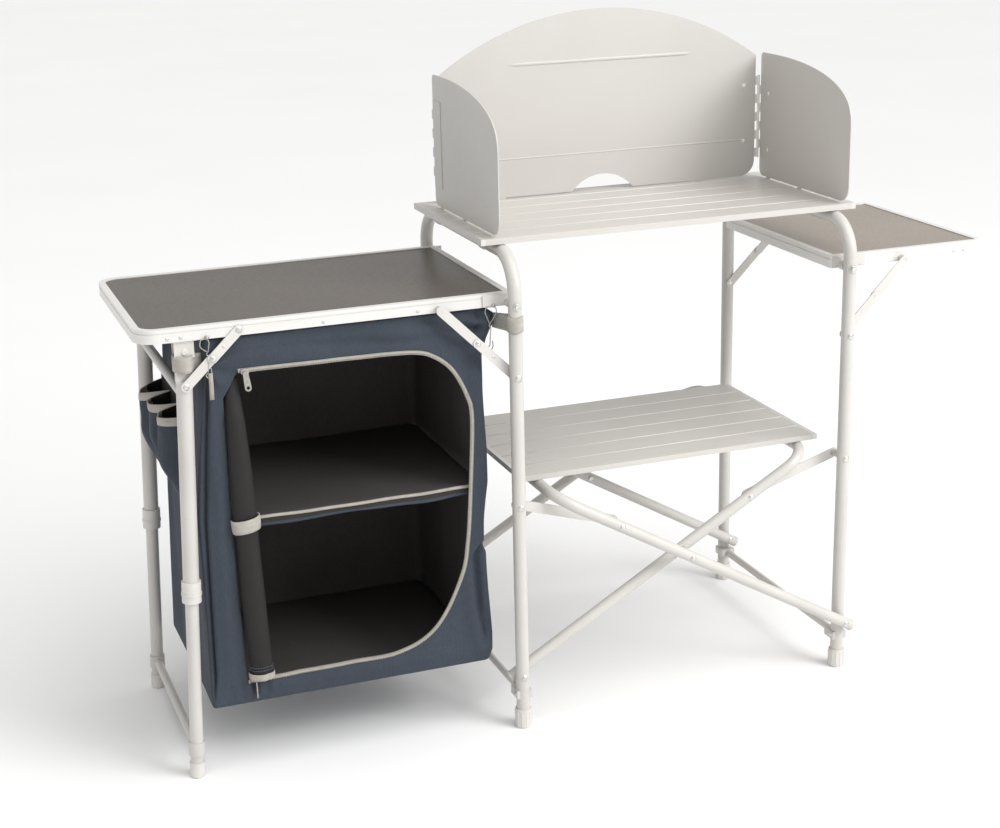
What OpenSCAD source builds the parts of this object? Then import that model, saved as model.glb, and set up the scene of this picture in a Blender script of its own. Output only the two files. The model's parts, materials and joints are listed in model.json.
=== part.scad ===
// Camp kitchen table: tubular stand with a slatted cooking surface and windshield, a scissor frame with a
// slatted shelf, a left side table with a fabric cupboard and a right folding side table.
// Origin: middle of the whole footprint, on the floor. X runs along the length, -Y is the front, +Z is up.

/* [Stand] */
// Distance between the left and right legs of the stand
stand_w = 596; // [580:1:610]
// Distance between the front and rear legs of the stand
stand_d = 436; // [430:1:442]
// Height of the cooking surface
stand_h = 820; // [810:1:830]
// Diameter of the leg tube
leg_d = 22; // [21:0.5:23]
// Wall of every tube
tube_wall = 1.5; // [1.2:0.1:2]
// Centreline radius of the bends at the top of the stand
leg_bend = 60; // [54:1:64]

/* [Scissor frame] */
// Diameter of the scissor tube
cross_d = 19; // [18:0.5:19.5]
// Height of the lower pivots
cross_pivot_h = 90; // [88:1:94]
// Slope of the scissor arms when open
cross_angle = 30; // [29:0.5:31]
// Centreline radius of the bends of the scissor frames
cross_bend = 45; // [40:1:48]
// Distance from a lower pivot to the strut point along the arm
strut_point = 493; // [488:1:496]
// Height of the strut pivot on the leg
strut_h = 389; // [385:1:392]
// Width of the flat struts
strut_w = 17; // [15:1:18]

/* [Slatted surfaces] */
// Depth of the cooking surface, front to back
top_depth = 340; // [330:1:346]
// How far the cooking surface runs past the left legs
top_over = 36; // [32:1:38]
// Number of slats in each surface
slats = 6; // [5:1:7]
// Height of the upper slats
top_slat_h = 10; // [9:0.5:11]
// Height of the lower shelf's surface
shelf_h = 420; // [418:1:422]
// Depth of the lower shelf
shelf_depth = 337; // [330:1:340]
// Length of the lower shelf
shelf_len = 549; // [545:1:552]
// Height of the lower slats
shelf_slat_h = 9; // [8:0.5:9]

/* [Windshield] */
// Width of the back panel
shield_w = 598; // [590:1:600]
// Height of the back panel at its side edges
shield_side_h = 215; // [205:1:220]
// Height of the back panel in the middle
shield_mid_h = 312; // [300:1:320]
// Length of a side wing
wing_len = 310; // [300:1:314]
// Height of a side wing
wing_h = 220; // [210:1:225]
// Distance of the back panel behind the middle of the stand
shield_y = 133; // [128:1:136]

/* [Tables] */
// Height of the side tables
table_h = 738; // [736:1:740]
// Height of a table's rim
rim_h = 21; // [20:0.5:22]
// Depth of both tables
table_depth = 381; // [379:1:382]
// Reach of the left table from the left legs
left_reach = 583; // [575:1:590]
// Reach of the right table from the right legs
right_reach = 280; // [274:1:286]
// Distance of a table brace's ends from the table's pivot
brace_arm = 116; // [112:1:118]

/* [Left legs] */
// Diameter of the upper tube
upper_d = 25; // [24.5:0.5:25.5]
// Diameter of the sliding lower tube
lower_d = 21; // [20.5:0.5:21]
// Distance between the front and rear tubes
left_legs_d = 350; // [348:1:352]
// How far the legs lean outwards
lean = 2.4; // [2:0.1:2.6]

/* [Cupboard] */
// Height of the cupboard's floor
cup_low = 112; // [108:1:118]
// Height of the cupboard's roof
cup_high = 704; // [696:1:706]
// Depth of the cupboard
cup_depth = 368; // [364:1:370]
// Height of the middle shelf
cup_shelf = 422; // [400:1:440]

/* [Hidden] */

$fn = 48;

coat = [0.90, 0.88, 0.86];
slat_grey = [0.78, 0.77, 0.74];
shield_grey = [0.76, 0.74, 0.71];
laminate = [0.33, 0.31, 0.29];
plastic = [0.86, 0.84, 0.81];
steel = [0.80, 0.79, 0.77];
navy = [0.20, 0.25, 0.32];
webbing = [0.66, 0.63, 0.58];

sides = [-1, 1];
gap = 0.4;         // clearance between pieces that move past each other
fit = 0.08;        // radial clearance of a pin in its bore
pin_r = 3;
head_r = 5.5;
head_h = 1.6;

// Places along the length
left_x = -(stand_w + right_reach - left_reach) / 2;
right_x = left_x + stand_w;
middle_x = (left_x + right_x) / 2;

// Places across the depth
leg_r = leg_d / 2;
leg_y = stand_d / 2;
leg_in = leg_y - leg_r;
leg_out = leg_y + leg_r;
cross_r = cross_d / 2;
arm_shift = leg_r + 0.5 + cross_r;   // an arm runs beside its leg
arm_near = leg_y - arm_shift;        // middle of the arm inside the leg
arm_far = leg_y + arm_shift;         // middle of the arm outside the leg

// Cooking surface and its bar
bar_z = stand_h - top_slat_h - gap - leg_r;
slat_gap = 3;
slat_wall = 1.6;
rail_w = 8;
clip_w = 24;

// Scissor frames
cross_reach = (shelf_h - shelf_slat_h - gap - cross_r - cross_pivot_h) / sin(cross_angle);
cross_half = stand_w / 2 / cos(cross_angle);
cross_start = -14;
cross_z = cross_pivot_h + cross_half * sin(cross_angle);
strut_t = 2;
strut_x = strut_point * cos(cross_angle);
strut_z = cross_pivot_h + strut_point * sin(cross_angle);
strut_run = stand_w - strut_x;
strut_drop = strut_h - strut_z;
strut_len = sqrt(strut_run * strut_run + strut_drop * strut_drop);
strut_slope = atan(strut_drop / strut_run);
bar_x = cross_reach * cos(cross_angle);
shelf_bar_z = cross_pivot_h + cross_reach * sin(cross_angle);

// Feet and floor bars
cap_h = 32;
cap_r = leg_r + 2.6;
cap_floor = 4;
floor_bar_z = 60;
floor_bar_h = 14;
floor_bar_w = 9;

// Tables
table_pivot_z = 722;
half_depth = table_depth / 2;
rim_wall = 2.5;
rim_lip = 8;
lip_t = 1.5;
panel_t = 8;
link_w = 15;
link_t = 2;
brace_leg_z = table_pivot_z - brace_arm;
brace_len = brace_arm * sqrt(2) / 2;
link_out_y = leg_in - gap;           // outer face of the link beside the leg
link_in_y = link_out_y - link_t - gap;
boss_r = 8;

// Left legs
upper_r = upper_d / 2;
lower_r = lower_d / 2;
lower_wall = 1.2;
hip_x = left_x - 512;
hip_z = 698;
flat_t = 14;
flat_len = 45;
upper_len = 384;
brace_drop = 52;
bar_drop = 70;
bar_r = 8;
leg_half = left_legs_d / 2;
leg_len = (hip_z - (lower_r + 1.5) * sin(lean)) / cos(lean);
inside_len = 125;
hip_pin_r = 4;
plate_t = 2;
plate_gap = flat_t / 2 + 0.3;
rail_pivot = [left_x - 430, table_h - 12];
leg_pivot = [hip_x - brace_drop * sin(lean), hip_z - brace_drop * cos(lean)];
outer_run = rail_pivot[0] - leg_pivot[0];
outer_rise = rail_pivot[1] - leg_pivot[1];
outer_len = sqrt(outer_run * outer_run + outer_rise * outer_rise) / 2;
outer_slope = atan(outer_rise / outer_run);
outer_low_y = leg_half + upper_r + 1.2;   // inner face of the link on the leg
outer_up_y = outer_low_y + link_t + 0.5;

// Windshield
shield_x = middle_x + 4;
shield_low = stand_h + 2.4;
sheet = 2;
shield_foot = 2.1;  // how far the windshield's feet reach below its sheet
foot_w = 14;
panel_foot_in = 110;    // from the back panel's side edge to its feet
pin_off = 7;
hinge_low = 855;
hinge_len = 145;
knuckles = 9;
knuckle_r = 2.5;
hinge_pin_r = 1.2;
leaf_t = 0.9;
leaf_w = 38;
wing_off = 5;       // from the pin to the wing's outer face
panel_rows = [886, 985];
wing_rows = [871, 972];
rivet_in = 23;      // from the back panel's side edge to its rivets
wing_rivet_in = 32; // from the pin to the wing's rivets
wing_feet = [26, 140];
sheet_pin_r = 1.5;
sheet_head_r = 3.6;
sheet_head_h = 1;

// Cupboard
cup_right = left_x - 42;
cup_left_low = left_x - 508;
cup_left_high = left_x - 484;
cup_half = cup_depth / 2;
cloth = 2.5;
door_left = left_x - 430;
door_right = left_x - 66;
door_low = 156;
door_high = 656;
door_r = 110;
loop_low = 668;
flat_corner_r = sqrt(upper_r * upper_r + flat_t * flat_t / 4);
roll_low_r = 19;
roll_high_r = 13;

// ---------------------------------------------------------------- helpers

// A rod along Y
module rod_y(x, z, y0, y1, r)
    translate([x, min(y0, y1), z])
        rotate([-90, 0, 0])
            cylinder(r = r, h = abs(y1 - y0));

// A rivet along Y: a shank from y0 to y1, with a head past each end that has one
module rivet_y(x, z, y0, y1, r = pin_r, head0 = true, head1 = true) {
    rod_y(x, z, y0, y1, r);
    if (head0)
        translate([x, y0, z])
            rotate([y1 > y0 ? 90 : -90, 0, 0])
                cylinder(r1 = head_r, r2 = head_r * 0.6, h = head_h);
    if (head1)
        translate([x, y1, z])
            rotate([y1 > y0 ? -90 : 90, 0, 0])
                cylinder(r1 = head_r, r2 = head_r * 0.6, h = head_h);
}

// The right half of the stand is the left half turned round the stand's middle
module turned()
    translate([2 * middle_x, 0, 0])
        rotate([0, 0, 180])
            children();

// Solid of a U: two arms along +X at y1 and y2, joined by a bar at x = reach
module u_solid(y1, y2, start, reach, bend, r) {
    for (y = [y1, y2])
        translate([start, y, 0])
            rotate([0, 90, 0])
                cylinder(r = r, h = reach - bend - start);
    translate([reach, y1 + bend, 0])
        rotate([-90, 0, 0])
            cylinder(r = r, h = y2 - y1 - 2 * bend);
    translate([reach - bend, y2 - bend, 0])
        rotate_extrude(angle = 90)
            translate([bend, 0])
                circle(r = r);
    translate([reach - bend, y1 + bend, 0])
        mirror([0, 1, 0])
            rotate_extrude(angle = 90)
                translate([bend, 0])
                    circle(r = r);
}

module u_tube(y1, y2, start, reach, bend, r)
    difference() {
        u_solid(y1, y2, start, reach, bend, r);
        u_solid(y1, y2, start - 1, reach, bend, r - tube_wall);
    }

// Outline of a plate with one radius at its left corners and one at its right corners
module plate_outline(x0, x1, half, r_left, r_right) {
    translate([x0 + r_left, -half])
        square([x1 - x0 - r_left - r_right, 2 * half]);
    translate([x0, r_left - half])
        square([r_left, 2 * (half - r_left)]);
    translate([x1 - r_right, r_right - half])
        square([r_right, 2 * (half - r_right)]);
    for (s = sides) {
        translate([x0 + r_left, s * (half - r_left)])
            circle(r = r_left);
        translate([x1 - r_right, s * (half - r_right)])
            circle(r = r_right);
    }
}

module plate(x0, x1, half, r_left, r_right, z0, z1)
    translate([0, 0, z0])
        linear_extrude(z1 - z0)
            plate_outline(x0, x1, half, r_left, r_right);

// A flat link of a given length from [x, z] at an angle, between y and y + t, with a bore at its start
module link(x, z, angle, length, y, t, w, bore)
    translate([x, y + t, z])
        rotate([90, 0, 0])
            rotate([0, 0, angle])
                linear_extrude(t)
                    difference() {
                        union() {
                            translate([0, -w / 2])
                                square([length, w]);
                            circle(r = w / 2);
                            translate([length, 0])
                                circle(r = w / 2);
                        }
                        circle(r = bore);
                    }

// ---------------------------------------------------------------- stand frames

module stand_frame()
    difference() {
        translate([left_x, 0, 0])
            rotate([0, -90, 0])
                u_tube(-leg_y, leg_y, cap_floor + 0.1, bar_z, leg_bend, leg_r);
        for (s = sides) {
            for (z = [cross_pivot_h, strut_h, brace_leg_z, table_pivot_z])
                rod_y(left_x, z, s * (leg_in - 1), s * (leg_out + 1), pin_r + 0.05);
            translate([left_x - leg_r - 1, s * leg_y, floor_bar_z])
                rotate([0, 90, 0])
                    cylinder(r = pin_r - 0.45, h = leg_d + 2);
        }
    }

module foot_caps()
    for (s = sides)
        translate([left_x, s * leg_y, 0])
            difference() {
                union() {
                    cylinder(r = cap_r, h = cap_h);
                    for (i = [0:11])
                        rotate([0, 0, 30 * i])
                            translate([cap_r, 0, 2])
                                cylinder(r = 0.8, h = cap_h - 6);
                }
                translate([0, 0, cap_floor])
                    cylinder(r = leg_r + 0.05, h = cap_h);
            }

module floor_bar() {
    end_y = leg_in - 10;
    tang = leg_r + 2.2;
    translate([left_x, end_y, floor_bar_z])
        rotate([90, 0, 0])
            linear_extrude(2 * end_y) {
                flat_h = floor_bar_h - floor_bar_w;
                square([floor_bar_w, flat_h], center = true);
                for (s = sides)
                    translate([0, s * flat_h / 2])
                        circle(r = floor_bar_w / 2);
            }
    for (s = sides)
        difference() {
            translate([left_x, s * (end_y + 14.5), floor_bar_z])
                cube([2 * tang, 29.2, floor_bar_h], center = true);
            translate([left_x, s * leg_y, 0])
                cylinder(r = leg_r + 0.1, h = 2 * floor_bar_z);
            translate([left_x - tang - 1, s * leg_y, floor_bar_z])
                rotate([0, 90, 0])
                    cylinder(r = pin_r - 0.45, h = 2 * tang + 2);
        }
}

// Rivets, spacer sleeves and table bolts that belong to one side of the stand
module frame_rivets() {
    x = left_x;
    // scissor pivots: inside the front leg, outside the rear leg
    rivet_y(x, cross_pivot_h, -leg_out, -arm_near + cross_r);
    rivet_y(x, cross_pivot_h, leg_in, arm_far + cross_r);
    // strut pivots
    rivet_y(x, strut_h, -leg_out, -leg_in + gap + strut_t);
    rivet_y(x, strut_h, leg_out, arm_near - cross_r - gap - strut_t);
    rod_y(x, strut_h, leg_in, arm_near - cross_r, 6);
    // brace pivots and table bolts
    for (s = sides) {
        rivet_y(x, brace_leg_z, s * leg_out, s * (link_out_y - link_t), pin_r, true, false);
        rod_y(x, table_pivot_z, s * leg_out, s * (half_depth + 4), pin_r);
        translate([x, s * leg_out, table_pivot_z])
            rotate([-90 * s, 0, 0]) {
                cylinder(r = 6.5, h = 1);
                cylinder(r = 5, h = 4, $fn = 6);
            }
    }
    // floor bar rivets
    for (s = sides)
        for (t = sides)
            translate([x, s * leg_y, floor_bar_z])
                rotate([0, 90 * t, 0]) {
                    cylinder(r = pin_r - 0.5, h = leg_r + 2.2);
                    translate([0, 0, leg_r + 2.2])
                        cylinder(r1 = head_r, r2 = head_r * 0.6, h = head_h);
                }
}

module left_frame() color(coat) stand_frame();
module right_frame() color(coat) turned() stand_frame();
module left_foot_caps() color(plastic) foot_caps();
module right_foot_caps() color(plastic) turned() foot_caps();
module left_floor_bar() color(coat) floor_bar();
module right_floor_bar() color(coat) turned() floor_bar();
module left_frame_rivets() color(steel) frame_rivets();
module right_frame_rivets() color(steel) turned() frame_rivets();

// ---------------------------------------------------------------- scissor frames

// Local frame of a scissor frame: X along the arms from the lower pivot
module on_slope()
    translate([left_x, 0, cross_pivot_h])
        rotate([0, -cross_angle, 0])
            children();

module x_frame()
    on_slope()
        difference() {
            u_tube(-arm_near, arm_far, cross_start, cross_reach, cross_bend, cross_r);
            for (u = [0, cross_half, strut_point])
                for (y = [-arm_near, arm_far])
                    rod_y(u, 0, y - cross_r - 1, y + cross_r + 1, pin_r + (u == 0 ? fit : 0.05));
            rod_y(cross_half, 0, -arm_far, arm_far + cross_r + 1, pin_r + fit);
        }

module x_caps()
    on_slope()
        for (y = [-arm_near, arm_far])
            translate([cross_start - 3, y, 0])
                rotate([0, 90, 0]) {
                    cylinder(r = cross_r + 0.4, h = 3);
                    cylinder(r = cross_r - tube_wall - 0.1, h = 9);
                }

// The strut rides on a spacer that the rear arm carries; the front arm carries a plain rivet
module x_spacers()
    on_slope() {
        y0 = arm_far + cross_r;
        rod_y(strut_point, 0, leg_in + gap, arm_far - cross_r, 6);
        rivet_y(strut_point, 0, arm_far - cross_r, y0, pin_r, false, true);
        rivet_y(strut_point, 0, -arm_near - cross_r, -arm_near + cross_r, pin_r, true, false);
    }

module x_frame_a() color(coat) x_frame();
module x_frame_b() color(coat) turned() x_frame();
module x_frame_a_caps() color(plastic) x_caps();
module x_frame_b_caps() color(plastic) turned() x_caps();
module strut_spacers_a() color(steel) x_spacers();
module strut_spacers_b() color(steel) turned() x_spacers();

module crossing_rivets()
    color(steel)
        for (s = sides) {
            rivet_y(middle_x, cross_z, s * (arm_far + cross_r), s * (arm_near - cross_r));
            rod_y(middle_x, cross_z, s * (arm_far - cross_r - gap), s * (arm_near + cross_r + gap), 7);
        }

// Flat struts between the left legs and the second scissor frame
module strut_pair() {
    front_y = -leg_in + gap;
    rear_y = arm_near - cross_r - gap - strut_t;
    tip_x = left_x + strut_len * cos(strut_slope);
    tip_z = strut_h - strut_len * sin(strut_slope);
    for (y = [front_y, rear_y]) {
        link(left_x, strut_h, -strut_slope, strut_len, y, strut_t, strut_w, pin_r + fit);
        head_y = y == front_y ? y + strut_t : y;
        translate([tip_x, head_y, tip_z])
            rotate([y == front_y ? -90 : 90, 0, 0])
                cylinder(r1 = head_r, r2 = head_r * 0.6, h = head_h);
    }
}

module left_struts() color(coat) strut_pair();
module right_struts() color(coat) turned() strut_pair();

// ---------------------------------------------------------------- slatted surfaces

// Channel-shaped slats side by side along Y
module slat_row(x0, x1, depth, top, height) {
    pitch = (depth + slat_gap) / slats;
    width = pitch - slat_gap;
    for (i = [0:slats - 1])
        translate([x0, -depth / 2 + i * pitch, top - height])
            difference() {
                cube([x1 - x0, width, height]);
                translate([-1, slat_wall, -1])
                    cube([x1 - x0 + 2, width - 2 * slat_wall, height - slat_wall + 1]);
            }
}

module end_rails(x0, x1, depth, top, height)
    for (x = [x0, x1 - rail_w])
        translate([x, -depth / 2, top - height])
            cube([rail_w, depth, height]);

// A saddle under a surface, open below; a half saddle holds only the outer side of the bar
module saddle(x, y, z, r, under, half)
    translate([x, y - clip_w / 2, 0])
        difference() {
            translate([half ? r + 0.3 : -(r + 3.3), 0, z - r / 2])
                cube([half ? 3 : 2 * (r + 3.3), clip_w, under - z + r / 2]);
            translate([0, -1, z])
                rotate([-90, 0, 0])
                    cylinder(r = r + 0.2, h = clip_w + 2);
            translate([-(r + 0.2), -1, z - r])
                cube([2 * (r + 0.2), clip_w + 2, r]);
        }

top_x0 = left_x - top_over;
top_x1 = right_x + top_over;
shelf_x0 = middle_x - shelf_len / 2;
shelf_x1 = middle_x + shelf_len / 2;

module top_slats()
    color(slat_grey)
        slat_row(top_x0 + rail_w + 0.1, top_x1 - rail_w - 0.1, top_depth, stand_h, top_slat_h);

module top_end_rails()
    color(plastic)
        end_rails(top_x0, top_x1, top_depth, stand_h, top_slat_h);

module top_clips()
    color(plastic)
        for (s = sides) {
            saddle(left_x, s * 110, bar_z, leg_r, stand_h - top_slat_h, false);
            saddle(right_x, s * 110, bar_z, leg_r, stand_h - top_slat_h, true);
        }

module shelf_slats()
    color(slat_grey)
        slat_row(shelf_x0 + rail_w + 0.1, shelf_x1 - rail_w - 0.1, shelf_depth, shelf_h, shelf_slat_h);

module shelf_end_rails()
    color(plastic)
        end_rails(shelf_x0, shelf_x1, shelf_depth, shelf_h, shelf_slat_h);

module shelf_clips()
    color(plastic)
        for (s = sides) {
            saddle(right_x - bar_x, s * 110, shelf_bar_z, cross_r, shelf_h - shelf_slat_h, false);
            saddle(left_x + bar_x, s * 110, shelf_bar_z, cross_r, shelf_h - shelf_slat_h, true);
        }

// ---------------------------------------------------------------- windshield

module hinge_knuckles(x, first)
    for (i = [first:2:knuckles - 1])
        translate([x, shield_y, hinge_low + i * hinge_len / knuckles + 0.15])
            cylinder(r = knuckle_r, h = hinge_len / knuckles - 0.3);

module hinge_bores()
    for (s = sides)
        translate([shield_x + s * (shield_w / 2 + pin_off), shield_y, hinge_low - 1])
            cylinder(r = hinge_pin_r + 0.06, h = hinge_len + 2);

// The back panel: straight sides, an arched top and a low cut-out at the foot
module windshield_back() {
    half = shield_w / 2;
    rise = shield_mid_h - shield_side_h;
    arch_r = (half * half + rise * rise) / (2 * rise);
    arch_a = asin(half / arch_r);
    corner = 28;
    notch_w = 58;
    notch_h = 27;
    notch_r = (notch_w * notch_w + notch_h * notch_h) / (2 * notch_h);
    steps = 40;
    arch = [for (i = [0:steps]) let (a = arch_a * (1 - 2 * i / steps))
        [arch_r * sin(a), shield_mid_h - arch_r + arch_r * cos(a)]];
    foot_left = [for (i = [0:8]) let (a = 180 + 90 * i / 8)
        [-half + corner + corner * cos(a), corner + corner * sin(a)]];
    foot_right = [for (i = [0:8]) let (a = 270 + 90 * i / 8)
        [half - corner + corner * cos(a), corner + corner * sin(a)]];
    color(shield_grey)
        difference() {
            translate([shield_x, shield_y + sheet / 2, shield_low])
                rotate([90, 0, 0])
                    linear_extrude(sheet)
                        union() {
                            polygon(concat(arch, foot_left, foot_right));
                            for (s = sides)
                                translate([s * (half - panel_foot_in) - foot_w / 2, -shield_foot])
                                    square([foot_w, 2 * shield_foot]);
                        }
            rod_y(shield_x, shield_low + notch_h - notch_r, shield_y - 5, shield_y + 5, notch_r);
            for (s = sides)
                for (z = panel_rows)
                    rod_y(shield_x + s * (half - rivet_in), z, shield_y - 5, shield_y + 5, sheet_pin_r);
        }
}

module windshield_leaves()
    color(steel)
        difference() {
            for (s = sides) {
                pin_x = shield_x + s * (shield_w / 2 + pin_off);
                hinge_knuckles(pin_x, 0);
                for (i = [0:2:knuckles - 1])
                    translate([min(pin_x, pin_x - s * leaf_w), shield_y + sheet / 2 + 0.05,
                               hinge_low + i * hinge_len / knuckles + 0.15])
                        cube([leaf_w, leaf_t, hinge_len / knuckles - 0.3]);
                translate([pin_x - s * (leaf_w + pin_off) / 2, shield_y + sheet / 2 + 0.05 + leaf_t / 2,
                           hinge_low + hinge_len / 2])
                    cube([leaf_w - pin_off, leaf_t, hinge_len], center = true);
                for (z = panel_rows) {
                    rod_y(shield_x + s * (shield_w / 2 - rivet_in), z, shield_y + 1.5, shield_y - sheet / 2,
                          sheet_pin_r - 0.05);
                    translate([shield_x + s * (shield_w / 2 - rivet_in), shield_y - sheet / 2, z])
                        rotate([90, 0, 0])
                            cylinder(r1 = sheet_head_r, r2 = 2.2, h = sheet_head_h);
                }
            }
            hinge_bores();
        }

module hinge_pins()
    color(steel)
        for (s = sides)
            translate([shield_x + s * (shield_w / 2 + pin_off), shield_y, hinge_low - 1.5]) {
                cylinder(r = hinge_pin_r, h = hinge_len + 3);
                translate([0, 0, hinge_len + 1.6])
                    cylinder(r = hinge_pin_r + 1, h = 1.4);
            }

// A wing seen from its side: X runs forward from the hinge, Y runs up
module wing_outline() {
    corner = 28;
    front = 105;    // radius of the front part of the big corner
    long = 270;     // how far the top curve runs back from the front edge
    drop = 92;      // how far it comes down
    steps = 28;
    curve = [for (i = [0:steps]) let (a = 90 * i / steps)
        [wing_len - long + long * pow(sin(a), 0.92), wing_h - drop + drop * pow(cos(a), 0.75)]];
    toe = [for (i = [0:8]) let (a = -90 * i / 8)
        [wing_len - corner + corner * cos(a), corner + corner * sin(a)]];
    heel = [for (i = [0:8]) let (a = 270 - 90 * i / 8)
        [corner / 2 + corner / 2 * cos(a), corner / 2 + corner / 2 * sin(a)]];
    crown = [for (i = [0:8]) let (a = 180 - 90 * i / 8)
        [8 + 8 * cos(a), wing_h - 8 + 8 * sin(a)]];
    polygon(concat(heel, crown, curve, toe));
}

// The left wing; its outer face is wing_off outside the pin
module wing() {
    pin_x = shield_x - shield_w / 2 - pin_off;
    color(shield_grey)
        difference() {
            translate([pin_x - wing_off, shield_y - knuckle_r - 0.6, shield_low])
                rotate([90, 0, 90])
                    mirror([1, 0, 0])
                        linear_extrude(sheet) {
                            wing_outline();
                            for (y = wing_feet)
                                translate([y, -shield_foot])
                                    square([foot_w, 2 * shield_foot]);
                        }
            for (z = wing_rows)
                translate([pin_x - wing_off - 1, shield_y - wing_rivet_in, z])
                    rotate([0, 90, 0])
                        cylinder(r = sheet_pin_r, h = 5);
        }
}

module wing_leaf() {
    pin_x = shield_x - shield_w / 2 - pin_off;
    leaf_x = pin_x - wing_off - 0.05 - leaf_t;
    color(steel)
        difference() {
            union() {
                hinge_knuckles(pin_x, 1);
                for (i = [1:2:knuckles - 1])
                    translate([leaf_x, shield_y - 2, hinge_low + i * hinge_len / knuckles + 0.15])
                        cube([pin_x - leaf_x, 2, hinge_len / knuckles - 0.3]);
                translate([leaf_x, shield_y - leaf_w - 5, hinge_low])
                    cube([leaf_t, leaf_w, hinge_len]);
                for (i = [1:2:knuckles - 1])
                    translate([leaf_x, shield_y - 6, hinge_low + i * hinge_len / knuckles + 0.15])
                        cube([leaf_t, 6, hinge_len / knuckles - 0.3]);
                for (z = wing_rows)
                    translate([leaf_x, shield_y - wing_rivet_in, z])
                        rotate([0, 90, 0]) {
                            cylinder(r = sheet_pin_r - 0.05, h = leaf_t + 0.05 + sheet);
                            translate([0, 0, leaf_t + 0.05 + sheet])
                                cylinder(r1 = sheet_head_r, r2 = 2.2, h = sheet_head_h);
                        }
            }
            hinge_bores();
        }
}

// The right wing mirrors the left one about the windshield's middle
module mirrored()
    translate([2 * shield_x, 0, 0])
        mirror([1, 0, 0])
            children();

module wing_left() wing();
module wing_left_leaf() wing_leaf();
module wing_right() mirrored() wing();
module wing_right_leaf() mirrored() wing_leaf();

// ---------------------------------------------------------------- tables

left_x0 = left_x - left_reach;
left_x1 = left_x + 5;
left_corner = 34;
right_x0 = right_x - 20;
right_x1 = right_x + right_reach;
right_corner = 26;
inner_corner = 5;

module table_panel(x0, x1, r0, r1)
    color(laminate)
        plate(x0 + rim_wall + 0.1, x1 - rim_wall - 0.1, half_depth - rim_wall - 0.1, r0 - rim_wall,
              r1 - rim_wall, table_h - lip_t - panel_t - 0.1, table_h - lip_t - 0.1);

// The rim: an outer wall with a lip over the panel and a flange under it, and two grooves round the outside
module table_rim(x0, x1, r0, r1)
    color(coat)
        difference() {
            plate(x0, x1, half_depth, r0, r1, table_h - rim_h, table_h);
            plate(x0 + rim_wall + rim_lip, x1 - rim_wall - rim_lip, half_depth - rim_wall - rim_lip,
                  max(r0 - rim_wall - rim_lip, 1), 1, table_h - rim_h - 1, table_h + 1);
            plate(x0 + rim_wall, x1 - rim_wall, half_depth - rim_wall, r0 - rim_wall, r1 - rim_wall,
                  table_h - rim_h + lip_t, table_h - lip_t);
            difference() {
                plate(x0 - 1, x1 + 1, half_depth + 1, r0 + 1, r1 + 1, table_h - 7, table_h - 5.5);
                plate(x0 + 0.8, x1 - 0.8, half_depth - 0.8, r0 - 0.8, r1 - 0.8, table_h - 8, table_h - 4);
            }
        }

// Corner bracket: a plate on the rail with a boss that reaches the leg
module table_bracket(x, s, dir)
    difference() {
        union() {
            translate([dir > 0 ? x - 18 : x - 44, s > 0 ? half_depth + 0.05 : -half_depth - 2.55,
                       table_h - rim_h + 2])
                cube([62, 2.5, rim_h - 4]);
            rod_y(x, table_pivot_z, s * (half_depth + 0.05), s * link_out_y, boss_r);
        }
        rod_y(x, table_pivot_z, s * (half_depth + 3.5), s * leg_out, pin_r + fit);
    }

// The rail stud that carries a brace's upper link
module brace_stud(x, s) {
    rod_y(x, table_pivot_z, s * (half_depth + 0.05), s * (link_in_y - link_t - 0.1), 6);
    rod_y(x, table_pivot_z, s * (half_depth + 0.05), s * link_in_y, pin_r);
}

// Rim rivets in pairs near the corners
module rim_rivets(xs)
    for (x = xs)
        for (s = sides)
            translate([x, s * (half_depth + 0.02), table_h - rim_h + 6])
                rotate([-90 * s, 0, 0])
                    cylinder(r1 = 3, r2 = 1.8, h = 0.9);

// Links of a brace between a leg at x and a table reaching to one side (dir)
module brace_upper(x, dir, s)
    link(x + dir * brace_arm, table_pivot_z, dir > 0 ? 225 : -45, brace_len,
         s > 0 ? link_in_y - link_t : -link_in_y, link_t, link_w, pin_r + fit);

module brace_lower(x, dir, s)
    link(x, brace_leg_z, dir > 0 ? 45 : 135, brace_len,
         s > 0 ? link_out_y - link_t : -link_out_y, link_t, link_w, pin_r + fit);

module left_table_panel() table_panel(left_x0, left_x1, left_corner, inner_corner);
module left_table_frame() table_rim(left_x0, left_x1, left_corner, inner_corner);
module right_table_panel() table_panel(right_x0, right_x1, inner_corner, right_corner);
module right_table_frame() table_rim(right_x0, right_x1, inner_corner, right_corner);

module left_table_brackets()
    color(coat)
        for (s = sides)
            table_bracket(left_x, s, -1);

module right_table_brackets()
    color(coat)
        for (s = sides)
            table_bracket(right_x, s, 1);

module left_table_rivets()
    color(steel) {
        for (s = sides) {
            brace_stud(left_x - brace_arm, s);
            rivet_y(rail_pivot[0], rail_pivot[1], s * (half_depth + 0.05), s * (outer_up_y + link_t),
                    pin_r, false, true);
            rod_y(rail_pivot[0], rail_pivot[1], s * (half_depth + 0.05), s * (outer_up_y - 0.1), head_r);
        }
        rim_rivets([left_x0 + 46, left_x0 + 66, left_x - 300, left_x - 150]);
    }

module right_table_rivets()
    color(steel) {
        for (s = sides)
            brace_stud(right_x + brace_arm, s);
        rim_rivets([right_x1 - 60, right_x1 - 40]);
    }

module inner_brace_uppers()
    color(coat)
        for (s = sides)
            brace_upper(left_x, -1, s);

module inner_brace_lowers()
    color(coat)
        for (s = sides)
            brace_lower(left_x, -1, s);

module right_brace_uppers()
    color(coat)
        for (s = sides)
            brace_upper(right_x, 1, s);

module right_brace_lowers()
    color(coat)
        for (s = sides)
            brace_lower(right_x, 1, s);

// ---------------------------------------------------------------- left legs

// Local frame of the left legs: origin at the hip pin, the legs along -Z
module at_hip()
    translate([hip_x, 0, hip_z])
        rotate([0, lean, 0])
            children();

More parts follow.
